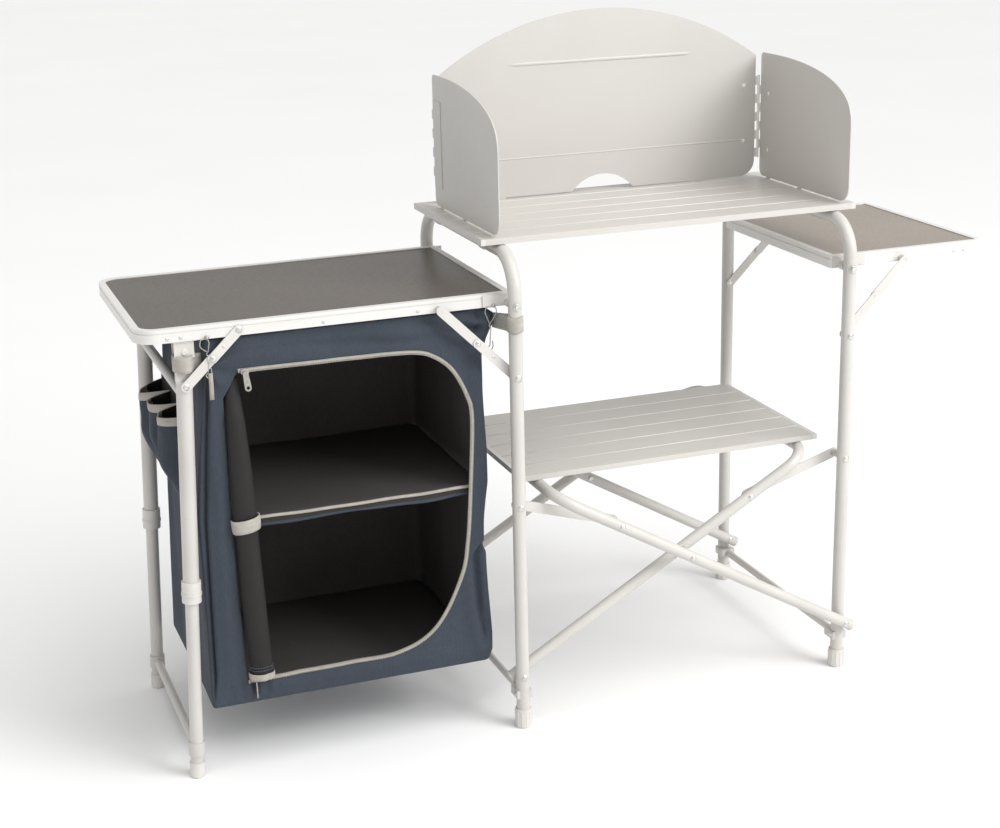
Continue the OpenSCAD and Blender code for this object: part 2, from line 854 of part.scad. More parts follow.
// Cheek plates and flange under the table, with the hip pin
module leg_brackets()
    color(coat)
        for (s = sides) {
            difference() {
                union() {
                    translate([hip_x - 20, s * leg_half - plate_gap - plate_t, table_h - rim_h - 2.1])
                        cube([40, 2 * (plate_gap + plate_t), 2]);
                    for (t = sides)
                        translate([hip_x - 15, s * leg_half + t * (plate_gap + plate_t / 2) - plate_t / 2,
                                   hip_z - 8])
                            cube([30, plate_t, table_h - rim_h - hip_z + 6]);
                }
                rod_y(hip_x, hip_z, s * leg_half - 20, s * leg_half + 20, hip_pin_r);
            }
            rivet_y(hip_x, hip_z, s * leg_half - plate_gap - plate_t, s * leg_half + plate_gap + plate_t,
                    hip_pin_r);
        }

module leg_upper_tubes()
    color(coat)
        at_hip()
            for (s = sides)
                translate([0, s * leg_half, 0])
                    difference() {
                        union() {
                            translate([0, 0, -upper_len])
                                cylinder(r = upper_r, h = upper_len - flat_len);
                            translate([-upper_r, -flat_t / 2, -flat_len - 2])
                                cube([upper_d, flat_t, flat_len + 2]);
                            rod_y(0, 0, -flat_t / 2, flat_t / 2, upper_r);
                        }
                        translate([0, 0, -upper_len - 1])
                            cylinder(r = upper_r - tube_wall, h = upper_len - flat_len - 8);
                        rod_y(0, 0, -flat_t, flat_t, hip_pin_r + fit);
                        rod_y(0, -brace_drop, -upper_d, upper_d, pin_r + 0.05);
                    }

module leg_collars()
    color(plastic)
        at_hip()
            for (s = sides)
                translate([0, s * leg_half, -upper_len - 16])
                    difference() {
                        union() {
                            cylinder(r = upper_r + 2.6, h = 34);
                            translate([0, 0, 12])
                                cylinder(r = upper_r + 3.4, h = 4);
                        }
                        translate([0, 0, -1])
                            cylinder(r = lower_r + 0.3, h = 20);
                        translate([0, 0, 15.9])
                            cylinder(r = upper_r + 0.05, h = 40);
                    }

module leg_upper_crossbar()
    color(coat)
        at_hip()
            rod_y(0, -bar_drop, -leg_half + upper_r + 0.1, leg_half - upper_r - 0.1, bar_r);

module leg_rivets()
    color(steel)
        at_hip()
            for (s = sides)
                rivet_y(0, -brace_drop, s * (leg_half - upper_r), s * (outer_low_y + link_t));

module leg_lower_tubes()
    color(coat)
        at_hip()
            for (s = sides)
                translate([0, s * leg_half, -leg_len + 3.1])
                    difference() {
                        cylinder(r = lower_r, h = leg_len - 3.1 - upper_len + inside_len);
                        translate([0, 0, -1])
                            cylinder(r = lower_r - lower_wall, h = leg_len);
                    }

module leg_lower_crossbar()
    color(coat)
        at_hip() {
            low = -leg_len + 48;
            rod_y(0, low, -leg_half + lower_r + 1, leg_half - lower_r - 1, bar_r - 1);
            for (s = sides)
                translate([0, s * leg_half, low - 11])
                    difference() {
                        cylinder(r = lower_r + 2.2, h = 22);
                        translate([0, 0, -1])
                            cylinder(r = lower_r + 0.05, h = 24);
                    }
        }

module leg_end_caps()
    color(plastic)
        at_hip()
            for (s = sides)
                translate([0, s * leg_half, -leg_len])
                    difference() {
                        cylinder(r = lower_r + 1.5, h = 24);
                        translate([0, 0, 3])
                            cylinder(r = lower_r + 0.05, h = 24);
                    }

// Links of the braces between the rail and the left legs; s is the side, upper hangs from the rail
module outer_link(s, upper) {
    y = upper ? outer_up_y : outer_low_y;
    start = upper ? rail_pivot : leg_pivot;
    angle = upper ? 180 + outer_slope : outer_slope;
    link(start[0], start[1], angle, outer_len, s > 0 ? y : -y - link_t, link_t, link_w, pin_r + fit);
    if (upper)
        translate([start[0] + outer_len * cos(angle), s * (y + link_t), start[1] + outer_len * sin(angle)])
            rotate([-90 * s, 0, 0])
                cylinder(r1 = head_r, r2 = head_r * 0.6, h = head_h);
}

module outer_brace_uppers()
    color(coat)
        for (s = sides)
            outer_link(s, true);

module outer_brace_lowers()
    color(coat)
        for (s = sides)
            outer_link(s, false);

// ---------------------------------------------------------------- cupboard

function cup_left(z) = cup_left_low + (cup_left_high - cup_left_low) * (z - cup_low) / (cup_high - cup_low);

// A block that fills the cupboard between two heights, inset from its sides
module cup_block(z0, z1, inset, half)
    translate([0, half, 0])
        rotate([90, 0, 0])
            linear_extrude(2 * half)
                polygon([[cup_left(z0) + inset, z0], [cup_right - inset, z0],
                         [cup_right - inset, z1], [cup_left(z1) + inset, z1]]);

// Door opening, straight on the left with round corners on the right
module door_cut()
    translate([0, -cup_half + cloth + 1, 0])
        rotate([90, 0, 0])
            linear_extrude(cloth + 2) {
                translate([door_left, door_low])
                    square([door_right - door_left - door_r, door_high - door_low]);
                translate([door_right - door_r - 1, door_low + door_r])
                    square([door_r + 1, door_high - door_low - 2 * door_r]);
                for (z = [door_low + door_r, door_high - door_r])
                    translate([door_right - door_r, z])
                        circle(r = door_r);
            }

module cupboard_shell()
    color(navy)
        difference() {
            cup_block(cup_low, cup_high, 0, cup_half);
            cup_block(cup_low + cloth, cup_high - cloth, cloth, cup_half - cloth);
            door_cut();
        }

module cupboard_shelf()
    color(navy)
        cup_block(cup_shelf - 4, cup_shelf, cloth + 0.4, cup_half - cloth - 0.4);

module cupboard_base()
    color(navy)
        cup_block(cup_low + cloth + 0.3, cup_low + cloth + 5, cloth + 0.4, cup_half - cloth - 0.4);

// The rolled-up door hangs at the left of the opening
module cupboard_door()
    color(navy)
        translate([door_left - 6, -cup_half - roll_low_r - 1, door_low + 4])
            cylinder(r1 = roll_low_r, r2 = roll_high_r, h = door_high - door_low - 20);

// Three pockets side by side, each a wedge that opens upwards
module cupboard_pockets() {
    pocket_w = 76;
    pitch = 80;
    low = 404;
    high = 563;
    out = 46;
    wall = 2;
    rear = 156;     // the rear pocket's rear edge
    color(navy)
        for (i = [0:2])
            translate([0, rear - i * pitch, 0])
                rotate([90, 0, 0])
                    linear_extrude(pocket_w)
                        polygon([[cup_left(low) - 0.5, low], [cup_left(high) - 0.5 - out, high],
                                 [cup_left(high) - 0.5 - out + wall, high + wall],
                                 [cup_left(low) - 0.5, low + 14]]);
}

// Webbing round the legs with a strap back to the cupboard's corners
module webbing_loop(x, y, z, r, to_x, to_y) {
    width = 21;
    thick = 1.4;
    strap = 3;
    run = sqrt((to_x - x) * (to_x - x) + (to_y - y) * (to_y - y));
    turn = atan2(to_y - y, to_x - x);
    translate([x, y, z])
        rotate([0, 0, turn])
            linear_extrude(width)
                difference() {
                    union() {
                        circle(r = r + thick);
                        translate([0, -strap / 2])
                            square([run, strap]);
                    }
                    circle(r = r);
                }
}

module cupboard_loops()
    color(webbing)
        for (s = sides) {
            webbing_loop(hip_x - 1, s * leg_half, loop_low, flat_corner_r + 0.6, cup_left(loop_low) - 1,
                         s * (cup_half - 12));
            webbing_loop(left_x, s * leg_y, loop_low + 12, leg_r + 0.6, cup_right + 3, s * (cup_half - 1));
        }

// Wire hooks between the rail and the cupboard's upper corners
module cupboard_hooks()
    color(steel)
        for (s = sides)
            for (x = [cup_left(690) + 8, cup_right - 6]) {
                translate([x, s * (cup_half + 1.6), 694])
                    cylinder(r = 1.1, h = 22.6);
                translate([x, s * (cup_half + 1.6), 687])
                    rotate([90, 0, 0])
                        rotate_extrude()
                            translate([7, 0])
                                circle(r = 1.1);
            }

module zip_sliders()
    color(steel)
        for (z = [door_low - 3, door_high + 3])
            translate([door_left + 6, -cup_half - 2.4, z])
                cube([11, 4, 6], center = true);

left_frame();
left_foot_caps();
left_floor_bar();
left_frame_rivets();
right_frame();
right_foot_caps();
right_floor_bar();
right_frame_rivets();
x_frame_a();
x_frame_a_caps();
strut_spacers_a();
crossing_rivets();
x_frame_b();
x_frame_b_caps();
strut_spacers_b();
left_struts();
right_struts();
shelf_slats();
shelf_end_rails();
shelf_clips();
top_slats();
top_end_rails();
top_clips();
windshield_back();
windshield_leaves();
hinge_pins();
wing_left();
wing_left_leaf();
wing_right();
wing_right_leaf();
left_table_panel();
left_table_frame();
left_table_rivets();
left_table_brackets();
inner_brace_uppers();
inner_brace_lowers();
leg_brackets();
leg_upper_tubes();
leg_collars();
leg_upper_crossbar();
leg_rivets();
leg_lower_tubes();
leg_lower_crossbar();
leg_end_caps();
outer_brace_uppers();
outer_brace_lowers();
cupboard_shell();
cupboard_shelf();
cupboard_base();
cupboard_door();
cupboard_pockets();
cupboard_loops();
cupboard_hooks();
zip_sliders();
right_table_panel();
right_table_frame();
right_table_brackets();
right_table_rivets();
right_brace_uppers();
right_brace_lowers();
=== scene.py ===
"""Camp kitchen table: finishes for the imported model, the fabric cupboard, the studio and the camera.

Everything is in metres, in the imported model's frame: X along the length, -Y the front, +Z up.
"""
import json
import math

import bmesh
import bpy
import numpy as np
from mathutils import Matrix, Vector, noise


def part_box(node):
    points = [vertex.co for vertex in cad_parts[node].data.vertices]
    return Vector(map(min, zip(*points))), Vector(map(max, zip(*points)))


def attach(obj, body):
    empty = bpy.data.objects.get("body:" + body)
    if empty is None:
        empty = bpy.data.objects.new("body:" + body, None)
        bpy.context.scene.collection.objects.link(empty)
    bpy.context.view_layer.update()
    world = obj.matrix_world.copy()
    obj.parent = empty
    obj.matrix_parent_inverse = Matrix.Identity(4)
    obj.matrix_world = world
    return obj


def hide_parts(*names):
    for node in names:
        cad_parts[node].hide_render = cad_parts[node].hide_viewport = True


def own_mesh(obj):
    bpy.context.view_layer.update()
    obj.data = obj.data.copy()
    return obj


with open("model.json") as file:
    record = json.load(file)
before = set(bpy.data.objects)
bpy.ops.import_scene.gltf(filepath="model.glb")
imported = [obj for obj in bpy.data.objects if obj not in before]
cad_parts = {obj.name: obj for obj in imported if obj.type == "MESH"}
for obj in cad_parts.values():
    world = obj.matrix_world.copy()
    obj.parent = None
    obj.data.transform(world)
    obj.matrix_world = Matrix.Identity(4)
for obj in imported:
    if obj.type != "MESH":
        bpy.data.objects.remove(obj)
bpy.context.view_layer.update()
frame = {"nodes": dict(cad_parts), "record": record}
HOME = "stand_left"          # the body that carries the cupboard


# ---- materials ----

def fill(node, values):
    """Sets a node's inputs; an underscore in a name stands for a space."""
    for name, value in values.items():
        node.inputs[name.replace("_", " ")].default_value = value
    return node


class Finish:
    """A material and short calls for the nodes that the finishes share."""

    def __init__(self, name, rough, metal=0.0):
        self.mat = bpy.data.materials.new(name)
        self.mat.use_nodes = True
        self.nodes = self.mat.node_tree.nodes
        self.links = self.mat.node_tree.links
        self.shader = self.nodes["Principled BSDF"]
        self.set(Roughness=rough, Metallic=metal)

    def set(self, **values):
        fill(self.shader, values)
        return self

    def add(self, kind, **values):
        return fill(self.nodes.new("ShaderNode" + kind), values)

    def feed(self, socket, value):
        """Gives a socket a number, a colour or another node's output."""
        if isinstance(value, (int, float)):
            socket.default_value = value
        elif isinstance(value, tuple):
            socket.default_value = (*value, 1)
        else:
            self.links.new(value, socket)

    def place(self, tex, stretch=(1, 1, 1)):
        """Puts a texture in object coordinates, stretched along the axes."""
        mapping = self.add("Mapping", Scale=stretch)
        self.feed(mapping.inputs["Vector"], self.add("TexCoord").outputs["Object"])
        self.feed(tex.inputs["Vector"], mapping.outputs["Vector"])
        return tex.outputs["Fac"]

    def grain(self, scale, stretch=(1, 1, 1), detail=3.0):
        return self.place(self.add("TexNoise", Scale=scale, Detail=detail), stretch)

    def wave(self, direction, scale):
        tex = self.add("TexWave", Scale=scale, Distortion=0.6, Detail=1.0)
        tex.bands_direction = direction
        return self.place(tex)

    def ramp(self, factor, *stops):
        node = self.add("ValToRGB")
        for element, (at, colour) in zip(node.color_ramp.elements, stops):
            element.position = at
            element.color = (*colour, 1)
        self.feed(node.inputs["Fac"], factor)
        return node.outputs["Color"]

    def math(self, operation, a, b):
        node = self.add("Math")
        node.operation = operation
        for socket, value in zip(node.inputs, (a, b)):
            self.feed(socket, value)
        return node.outputs[0]

    def mix(self, factor, a, b):
        node = self.add("Mix")
        node.data_type = "RGBA"
        for place, value in ((0, factor), (6, a), (7, b)):
            self.feed(node.inputs[place], value)
        return node.outputs[2]

    def colour(self, source):
        self.feed(self.shader.inputs["Base Color"], source)

    def rough(self, factor, low, high):
        node = self.add("MapRange", To_Min=low, To_Max=high)
        self.feed(node.inputs["Value"], factor)
        self.feed(self.shader.inputs["Roughness"], node.outputs["Result"])

    def bump(self, height, strength, distance=0.0005):
        node = self.add("Bump", Strength=strength, Distance=distance)
        self.feed(node.inputs["Height"], height)
        earlier = self.shader.inputs["Normal"]
        if earlier.is_linked:
            self.feed(node.inputs["Normal"], earlier.links[0].from_socket)
        self.feed(earlier, node.outputs["Normal"])


def powder_coat(name, light, shade, rough=(0.3, 0.44)):
    """Powder-coated tube: orange peel, faint blotches and a few scuffs."""
    f = Finish(name, 0.36).set(Coat_Weight=0.12, Coat_Roughness=0.3)
    blotch = f.ramp(f.grain(9.0), (0.3, shade), (0.62, light))
    scuffs = f.ramp(f.grain(60.0, (1.0, 1.0, 5.0), 6.0), (0.66, (0, 0, 0)), (0.74, (1, 1, 1)))
    worn = tuple(c * 0.84 for c in shade)
    f.colour(f.mix(f.math("MULTIPLY", scuffs, 0.35), blotch, worn))
    f.rough(f.grain(120.0), *rough)
    f.bump(f.grain(700.0, detail=1.0), 0.1, 0.0003)
    return f.mat


def moulded(name, light, shade):
    """Moulded plastic: a fine spark-eroded texture and softly mottled colour."""
    f = Finish(name, 0.5)
    f.colour(f.ramp(f.grain(25.0), (0.3, shade), (0.7, light)))
    f.rough(f.grain(90.0), 0.42, 0.58)
    f.bump(f.grain(1500.0, detail=2.0), 0.18, 0.0002)
    return f.mat


def extruded(name, light, shade):
    """Coated extrusion: long die lines along the length, a little dust in them."""
    f = Finish(name, 0.34).set(Coat_Weight=0.1, Coat_Roughness=0.25)
    lines = f.grain(1.0, (4.0, 260.0, 260.0), 4.0)
    cloud = f.grain(7.0)
    f.colour(f.mix(cloud, f.ramp(lines, (0.32, shade), (0.68, light)), light))
    f.rough(lines, 0.28, 0.46)
    f.bump(lines, 0.12, 0.0003)
    f.bump(f.grain(900.0, detail=1.0), 0.05, 0.0002)
    return f.mat


def sheet_metal(name, light, shade):
    """Satin painted sheet: flow marks, faint rub marks and a very fine peel."""
    f = Finish(name, 0.42).set(Coat_Weight=0.08, Coat_Roughness=0.35)
    cloud = f.ramp(f.grain(3.0), (0.25, shade), (0.75, light))
    rubs = f.ramp(f.grain(14.0, (1.0, 1.0, 9.0), 8.0), (0.6, (0, 0, 0)), (0.72, (1, 1, 1)))
    f.colour(f.mix(f.math("MULTIPLY", rubs, 0.1), cloud, tuple(c * 0.82 for c in light)))
    f.rough(f.grain(40.0), 0.36, 0.5)
    f.bump(f.grain(800.0, detail=1.0), 0.07, 0.0003)
    f.bump(f.grain(5.0), 0.1, 0.002)
    return f.mat


def laminate(name, light, dark):
    """Laminate board: a fine speckle on a softly clouded ground, with a slight pebble."""
    f = Finish(name, 0.34).set(Coat_Weight=0.12, Coat_Roughness=0.24)
    ground = f.ramp(f.grain(4.0), (0.2, dark), (0.8, light))
    fleck = f.ramp(f.grain(900.0, detail=2.0), (0.56, (0, 0, 0)), (0.64, (1, 1, 1)))
    pit = f.ramp(f.grain(650.0, detail=2.0), (0.36, (1, 1, 1)), (0.44, (0, 0, 0)))
    pale = tuple(min(1.0, c * 1.9 + 0.02) for c in light)
    deep = tuple(c * 0.5 for c in dark)
    f.colour(f.mix(f.math("MULTIPLY", pit, 0.5), f.mix(f.math("MULTIPLY", fleck, 0.5), ground, pale), deep))
    f.rough(f.grain(160.0), 0.28, 0.42)
    f.bump(f.grain(500.0, detail=2.0), 0.12, 0.0003)
    return f.mat


def bare_metal(name, tone):
    """Zinc-plated rivets and wire: small scratches and dull patches."""
    f = Finish(name, 0.34, 0.85)
    shade = tuple(c * 0.72 for c in tone)
    f.colour(f.ramp(f.grain(220.0, detail=5.0), (0.3, shade), (0.7, tone)))
    f.rough(f.grain(300.0), 0.24, 0.46)
    f.bump(f.grain(1200.0, detail=2.0), 0.1, 0.0002)
    return f.mat


def woven(name, light, dark, rough=0.82, sheen=0.12):
    """Plain-woven cloth: threads both ways on every face, slubs, and colour that varies as it fades."""
    f = Finish(name, rough).set(Sheen_Weight=sheen, Sheen_Roughness=0.45)
    f.set(Sheen_Tint=(*[min(1.0, c * 2.0 + 0.1) for c in light], 1))
    thread = 0.00115
    count = 0.05 / thread
    warp = f.math("ADD", f.wave("X", count), f.wave("Y", count))
    weave = f.math("MULTIPLY", f.math("MULTIPLY", warp, 0.5), f.wave("Z", count))
    fade = f.grain(6.0, detail=5.0)
    thread_noise = f.grain(1.0, (900.0, 900.0, 120.0), 2.0)
    ground = f.ramp(fade, (0.28, dark), (0.72, light))
    shadow = tuple(c * 0.62 for c in dark)
    f.colour(f.mix(f.math("MULTIPLY", f.ramp(thread_noise, (0.35, (1, 1, 1)), (0.6, (0, 0, 0))), 0.5),
                   ground, shadow))
    f.bump(weave, 0.35, 0.0004)
    f.bump(thread_noise, 0.15, 0.0003)
    f.bump(f.grain(30.0, detail=4.0), 0.25, 0.0012)
    return f.mat


def ribbed(name, light, dark):
    """Webbing and zip tape: close ribs across it and a soft fleck."""
    f = Finish(name, 0.72).set(Sheen_Weight=0.2, Sheen_Roughness=0.4)
    rib = 0.0016
    ribs = f.wave("Z", 0.05 / rib)
    fleck = f.ramp(f.grain(80.0, detail=4.0), (0.3, dark), (0.7, light))
    f.colour(f.mix(f.math("MULTIPLY", ribs, 0.35), fleck, dark))
    f.bump(ribs, 0.4, 0.0004)
    f.bump(f.grain(700.0), 0.2, 0.0003)
    return f.mat


def floor_paper(name):
    f = Finish(name, 0.85)
    f.colour(f.ramp(f.grain(0.8), (0.2, (0.86, 0.86, 0.86)), (0.8, (0.89, 0.89, 0.89))))
    f.bump(f.grain(200.0), 0.03, 0.0005)
    return f.mat


COAT = powder_coat("coat_tube", (0.56, 0.54, 0.51), (0.515, 0.495, 0.468))
RIM = extruded("coat_rim", (0.7, 0.685, 0.66), (0.63, 0.615, 0.59))
LINK = powder_coat("coat_link", (0.62, 0.6, 0.57), (0.57, 0.55, 0.52), (0.26, 0.4))
CAP = moulded("plastic_cap", (0.66, 0.635, 0.6), (0.6, 0.575, 0.545))
STEEL = bare_metal("zinc_steel", (0.72, 0.71, 0.69))
SLAT = extruded("slat_grey", (0.56, 0.54, 0.505), (0.5, 0.48, 0.45))
# The seam colour is a painted highlight: the slats' rounded edges, made paler than the slats as if catching
# the light.
PAINTED_HIGHLIGHT_SEAM = moulded("slat_seam_painted_highlight", (0.8, 0.78, 0.75), (0.74, 0.72, 0.69))
SHIELD = sheet_metal("shield_paint", (0.555, 0.537, 0.51), (0.51, 0.492, 0.466))
BOARD = laminate("laminate_left", (0.082, 0.067, 0.053), (0.06, 0.049, 0.039))
# The right table's laminate is the left one's, painted paler: a painted reflection of the light glancing off
# its top.
PAINTED_REFLECTION_BOARD = laminate("laminate_right_painted_reflection", (0.29, 0.248, 0.208), (0.235, 0.2, 0.167))
HINGE = sheet_metal("hinge_leaf", (0.84, 0.82, 0.79), (0.78, 0.76, 0.73))
NAVY = woven("cloth_navy", (0.0395, 0.051, 0.0695), (0.03, 0.0393, 0.055), sheen=0.15)
LINING = woven("cloth_lining", (0.088, 0.079, 0.076), (0.071, 0.064, 0.062), rough=0.78)
BOARD_CLOTH = woven("cloth_board", (0.055, 0.0495, 0.048), (0.043, 0.0385, 0.037), rough=0.78)
DARK = woven("cloth_dark", (0.022, 0.02, 0.019), (0.014, 0.013, 0.012), rough=0.78, sheen=0.1)
DOOR_LINING = woven("cloth_door_lining", (0.012, 0.0098, 0.0092), (0.0072, 0.0059, 0.0055), 0.75, 0.08)
TAPE = ribbed("zip_tape", (0.395, 0.365, 0.32), (0.315, 0.29, 0.255))
WEBBING = ribbed("webbing_grey", (0.44, 0.415, 0.37), (0.355, 0.333, 0.295))
TEETH = moulded("zip_teeth", (0.44, 0.41, 0.37), (0.34, 0.32, 0.29))
THREAD = moulded("thread_blue", (0.13, 0.17, 0.24), (0.09, 0.12, 0.17))
PULLER = bare_metal("puller_metal", (0.5, 0.48, 0.45))

SLOT_FINISH = {
    "powder_coat": COAT, "rim": RIM, "grey_plastic": CAP, "steel": STEEL, "slats": SLAT,
    "shield": SHIELD, "laminate": BOARD, "cupboard_cloth": NAVY, "webbing": WEBBING,
}
LINKS = {"inner_brace_uppers", "inner_brace_lowers", "outer_brace_uppers", "outer_brace_lowers",
         "right_brace_uppers", "right_brace_lowers", "left_struts", "right_struts",
         "left_table_brackets", "right_table_brackets", "leg_brackets", "shelf_end_rails", "top_end_rails"}
# The right table's panel takes the paler laminate, whose lighter colour is a painted reflection.
NODE_FINISH = {"right_table_panel": PAINTED_REFLECTION_BOARD, "windshield_leaves": HINGE, "wing_left_leaf": SHIELD,
               "wing_right_leaf": HINGE, **{name: LINK for name in LINKS}}

for part in frame["record"]["subparts"]:
    node = frame["nodes"][part["node"]]
    finish = NODE_FINISH.get(part["node"], SLOT_FINISH[part["material_slot"]])
    node.data.materials.clear()
    node.data.materials.append(finish)


# ---- mesh helpers ----

def add_mesh(name, verts, faces, materials, indices=None, smooth=True):
    mesh = bpy.data.meshes.new(name)
    mesh.from_pydata([tuple(v) for v in verts], [], faces)
    for material in materials:
        mesh.materials.append(material)
    if indices:
        mesh.polygons.foreach_set("material_index", indices)
    mesh.polygons.foreach_set("use_smooth", [smooth] * len(mesh.polygons))
    mesh.update()
    obj = bpy.data.objects.new(name, mesh)
    bpy.context.scene.collection.objects.link(obj)
    return obj


def settle(obj):
    """Applies the piece's modifiers to its mesh."""
    graph = bpy.context.evaluated_depsgraph_get()
    mesh = bpy.data.meshes.new_from_object(obj.evaluated_get(graph))
    obj.modifiers.clear()
    obj.data = mesh
    return obj


def thicken(obj, thickness, offset=-1.0, inner=None):
    """Gives a sheet its thickness; inner is how many materials further the inside is, and the edge keeps the
    outer material.
    """
    mod = obj.modifiers.new("thickness", "SOLIDIFY")
    mod.thickness = thickness
    mod.offset = offset
    if inner:
        mod.material_offset = inner
        mod.material_offset_rim = 0
    return settle(obj)


def grid_faces(rows, columns, closed=False):
    """Faces of a grid of rows x columns points, row by row; closed joins the last column to the first."""
    faces = []
    for j in range(rows - 1):
        for i in range(columns if closed else columns - 1):
            k = (i + 1) % columns
            faces.append((j * columns + i, j * columns + k, (j + 1) * columns + k, (j + 1) * columns + i))
    return faces


def unit(v):
    return v / max(np.linalg.norm(v), 1e-12)


def sweep(path, across, section):
    """Points and faces of a section swept along a path; across is the way of the section's first measure."""
    path = [np.array(p, float) for p in path]
    count = len(path)
    points = []
    for k, p in enumerate(path):
        tangent = unit(path[min(k + 1, count - 1)] - path[max(k - 1, 0)])
        side = np.array(across, float)
        side = unit(side - tangent * np.dot(side, tangent))
        third = np.cross(tangent, side)
        points += [p + side * a + third * b for a, b in section]
    width = len(section)
    faces = grid_faces(count, width, closed=True)
    faces += [tuple(reversed(range(width))), tuple(range((count - 1) * width, count * width))]
    return points, faces


def ring(radius, sides):
    turns = [2 * math.pi * i / sides for i in range(sides)]
    return [(radius * math.cos(a), radius * math.sin(a)) for a in turns]


def gather(parts):
    """One list of points and faces from several."""
    verts, faces = [], []
    for points, more in parts:
        base = len(verts)
        verts += list(points)
        faces += [tuple(base + i for i in f) for f in more]
    return verts, faces


def add_parts(name, parts, materials, smooth=True):
    return add_mesh(name, *gather(parts), materials, smooth=smooth)


def assign(obj, body):
    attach(obj, body)
    return obj


def lengths(path):
    """The way along a path to each of its points."""
    return np.concatenate([[0.0], np.cumsum(np.linalg.norm(np.diff(path, axis=0), axis=1))])


def dashes(path, across, length, space, radius):
    """The stitches of a seam along a path."""
    path = np.array(path, float)
    steps = lengths(path)

    def at(s):
        return np.array([np.interp(s, steps, path[:, k]) for k in range(3)])

    parts = []
    s = space / 2
    while s + length < steps[-1]:
        parts.append(sweep([at(s), at(s + length / 2), at(s + length)], across, ring(radius, 6)))
        s += length + space
    return parts


def smooth_path(points, steps):
    """A Catmull-Rom curve through the points."""
    pts = [np.array(p, float) for p in points]
    out = []
    for k in range(len(pts) - 1):
        p0, p1, p2, p3 = pts[max(k - 1, 0)], pts[k], pts[k + 1], pts[min(k + 2, len(pts) - 1)]
        for i in range(steps):
            t = i / steps
            out.append(0.5 * ((2 * p1) + (p2 - p0) * t + (2 * p0 - 5 * p1 + 4 * p2 - p3) * t * t
                              + (3 * p1 - p0 - 3 * p2 + p3) * t ** 3))
    out.append(pts[-1])
    return out


def ease(t):
    t = min(max(t, 0.0), 1.0)
    return t * t * (3 - 2 * t)


def hump(x, centre, width):
    return math.exp(-((x - centre) / width) ** 2)


# ---- the cupboard's shape ----

shell_lo, shell_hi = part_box("cupboard_shell")
SHELL = frame["nodes"]["cupboard_shell"]
FLOOR, ROOF = shell_lo.z, shell_hi.z
RIGHT = shell_hi.x
FRONT, REAR = shell_lo.y, shell_hi.y
LEFT_LOW = shell_lo.x
LEFT_HIGH = min(v.co.x for v in SHELL.data.vertices if v.co.z > ROOF - 0.001)
HEIGHT = ROOF - FLOOR
MIDDLE = (LEFT_LOW + RIGHT) / 2
TOP = ROOF + 0.0105          # the cloth's top edge, tucked up under the table's rim
EDGE = 0.006                 # how round the floor's and roof's edges are
FLOOR_SAG, ROOF_SAG = 0.004, 0.02

# The door opening, from the cupboard's right side and floor
OPENING = [(-0.392, 0.548), (-0.3, 0.5476), (-0.2, 0.5468), (-0.116, 0.544), (-0.08, 0.532),
           (-0.052, 0.507), (-0.031, 0.466), (-0.0235, 0.428), (-0.0275, 0.331), (-0.037, 0.212),
           (-0.057, 0.139), (-0.097, 0.075), (-0.156, 0.046), (-0.25, 0.0425), (-0.41, 0.041)]
DOOR_SIDE = [(-0.4135, 0.17), (-0.416, 0.3), (-0.4175, 0.508), (-0.405, 0.528)]   # where the door hangs
outline = [(RIGHT + p[0], FLOOR + p[1]) for p in smooth_path(OPENING, 14)]
opening = outline + [(RIGHT + p[0], FLOOR + p[1]) for p in DOOR_SIDE]


def left_side(z):
    return LEFT_LOW + (LEFT_HIGH - LEFT_LOW) * (z - FLOOR) / HEIGHT


def rough_cloth(a, z, seed, across=0.055, along=0.22):
    """Soft folds that run mostly up and down."""
    big = noise.noise(Vector((a / across, z / along, seed)))
    small = noise.noise(Vector((a / (across * 0.42), z / (along * 0.5), seed + 7.3)))
    return big + 0.4 * small


# Creases in the front: heights from the floor, and places from the right side
RIGHT_CREASE = ([0.02, 0.059, 0.102, 0.155, 0.191, 0.214], [-0.001, -0.011, -0.018, -0.021, -0.023, -0.004])


def fan(a, h, at_a, at_h, reach, count):
    """Folds that spread out from the place where a hook gathers the cloth."""
    da, dh = a - at_a, h - at_h
    r = math.hypot(da, dh)
    return math.sin(math.atan2(dh, da) * count + 0.6) * math.exp(-(r / reach) ** 2) * ease(r / 0.018)


def front_folds(x, z):
    """How far the front stands out from its plane."""
    a, h = x - RIGHT, z - FLOOR
    out = 0.0018 * rough_cloth(x, z, 1.0)
    out += 0.005 * hump(a, -0.436, 0.012) * ease(h / 0.1) * ease((0.585 - h) / 0.08)
    band = ease((h - 0.545) / 0.02)
    patchy = 0.5 + 0.5 * noise.noise(Vector((a * 8, h * 20, 3)))
    out += band * 0.0032 * math.sin(a * 30.0 + h * 75.0) * patchy
    out -= 0.003 * hump(h, 0.572 + 0.008 * math.sin(a * 14), 0.0055) * ease((a + 0.44) / 0.05)
    out -= 0.005 * ease((h - 0.583) / 0.016)
    out += 0.0052 * fan(a, h, 0.011, 0.574, 0.075, 7.0)
    out += 0.004 * fan(a, h, -0.44, 0.56, 0.05, 6.0)
    crease = float(np.interp(h, *RIGHT_CREASE))
    out -= 0.0085 * hump(a, crease, 0.0046) * ease((0.235 - h) / 0.03) * ease((h - 0.012) / 0.02)
    out += 0.0045 * hump(a, crease + 0.011, 0.008) * ease((0.26 - h) / 0.06) * ease(h / 0.03)
    out += 0.003 * hump(a, crease - 0.016, 0.011) * ease((0.24 - h) / 0.06) * ease(h / 0.03)
    out += 0.0024 * hump(h, 0.022, 0.016) * ease((a + 0.44) / 0.04)
    pucker = hump(a, -0.4, 0.03) * hump(h, 0.03, 0.02)
    out += pucker * 0.0028 * math.sin(a * 320 + 25 * h)
    out += 0.003 * hump(a, -0.012, 0.014) * hump(h, 0.44, 0.09)
    return out


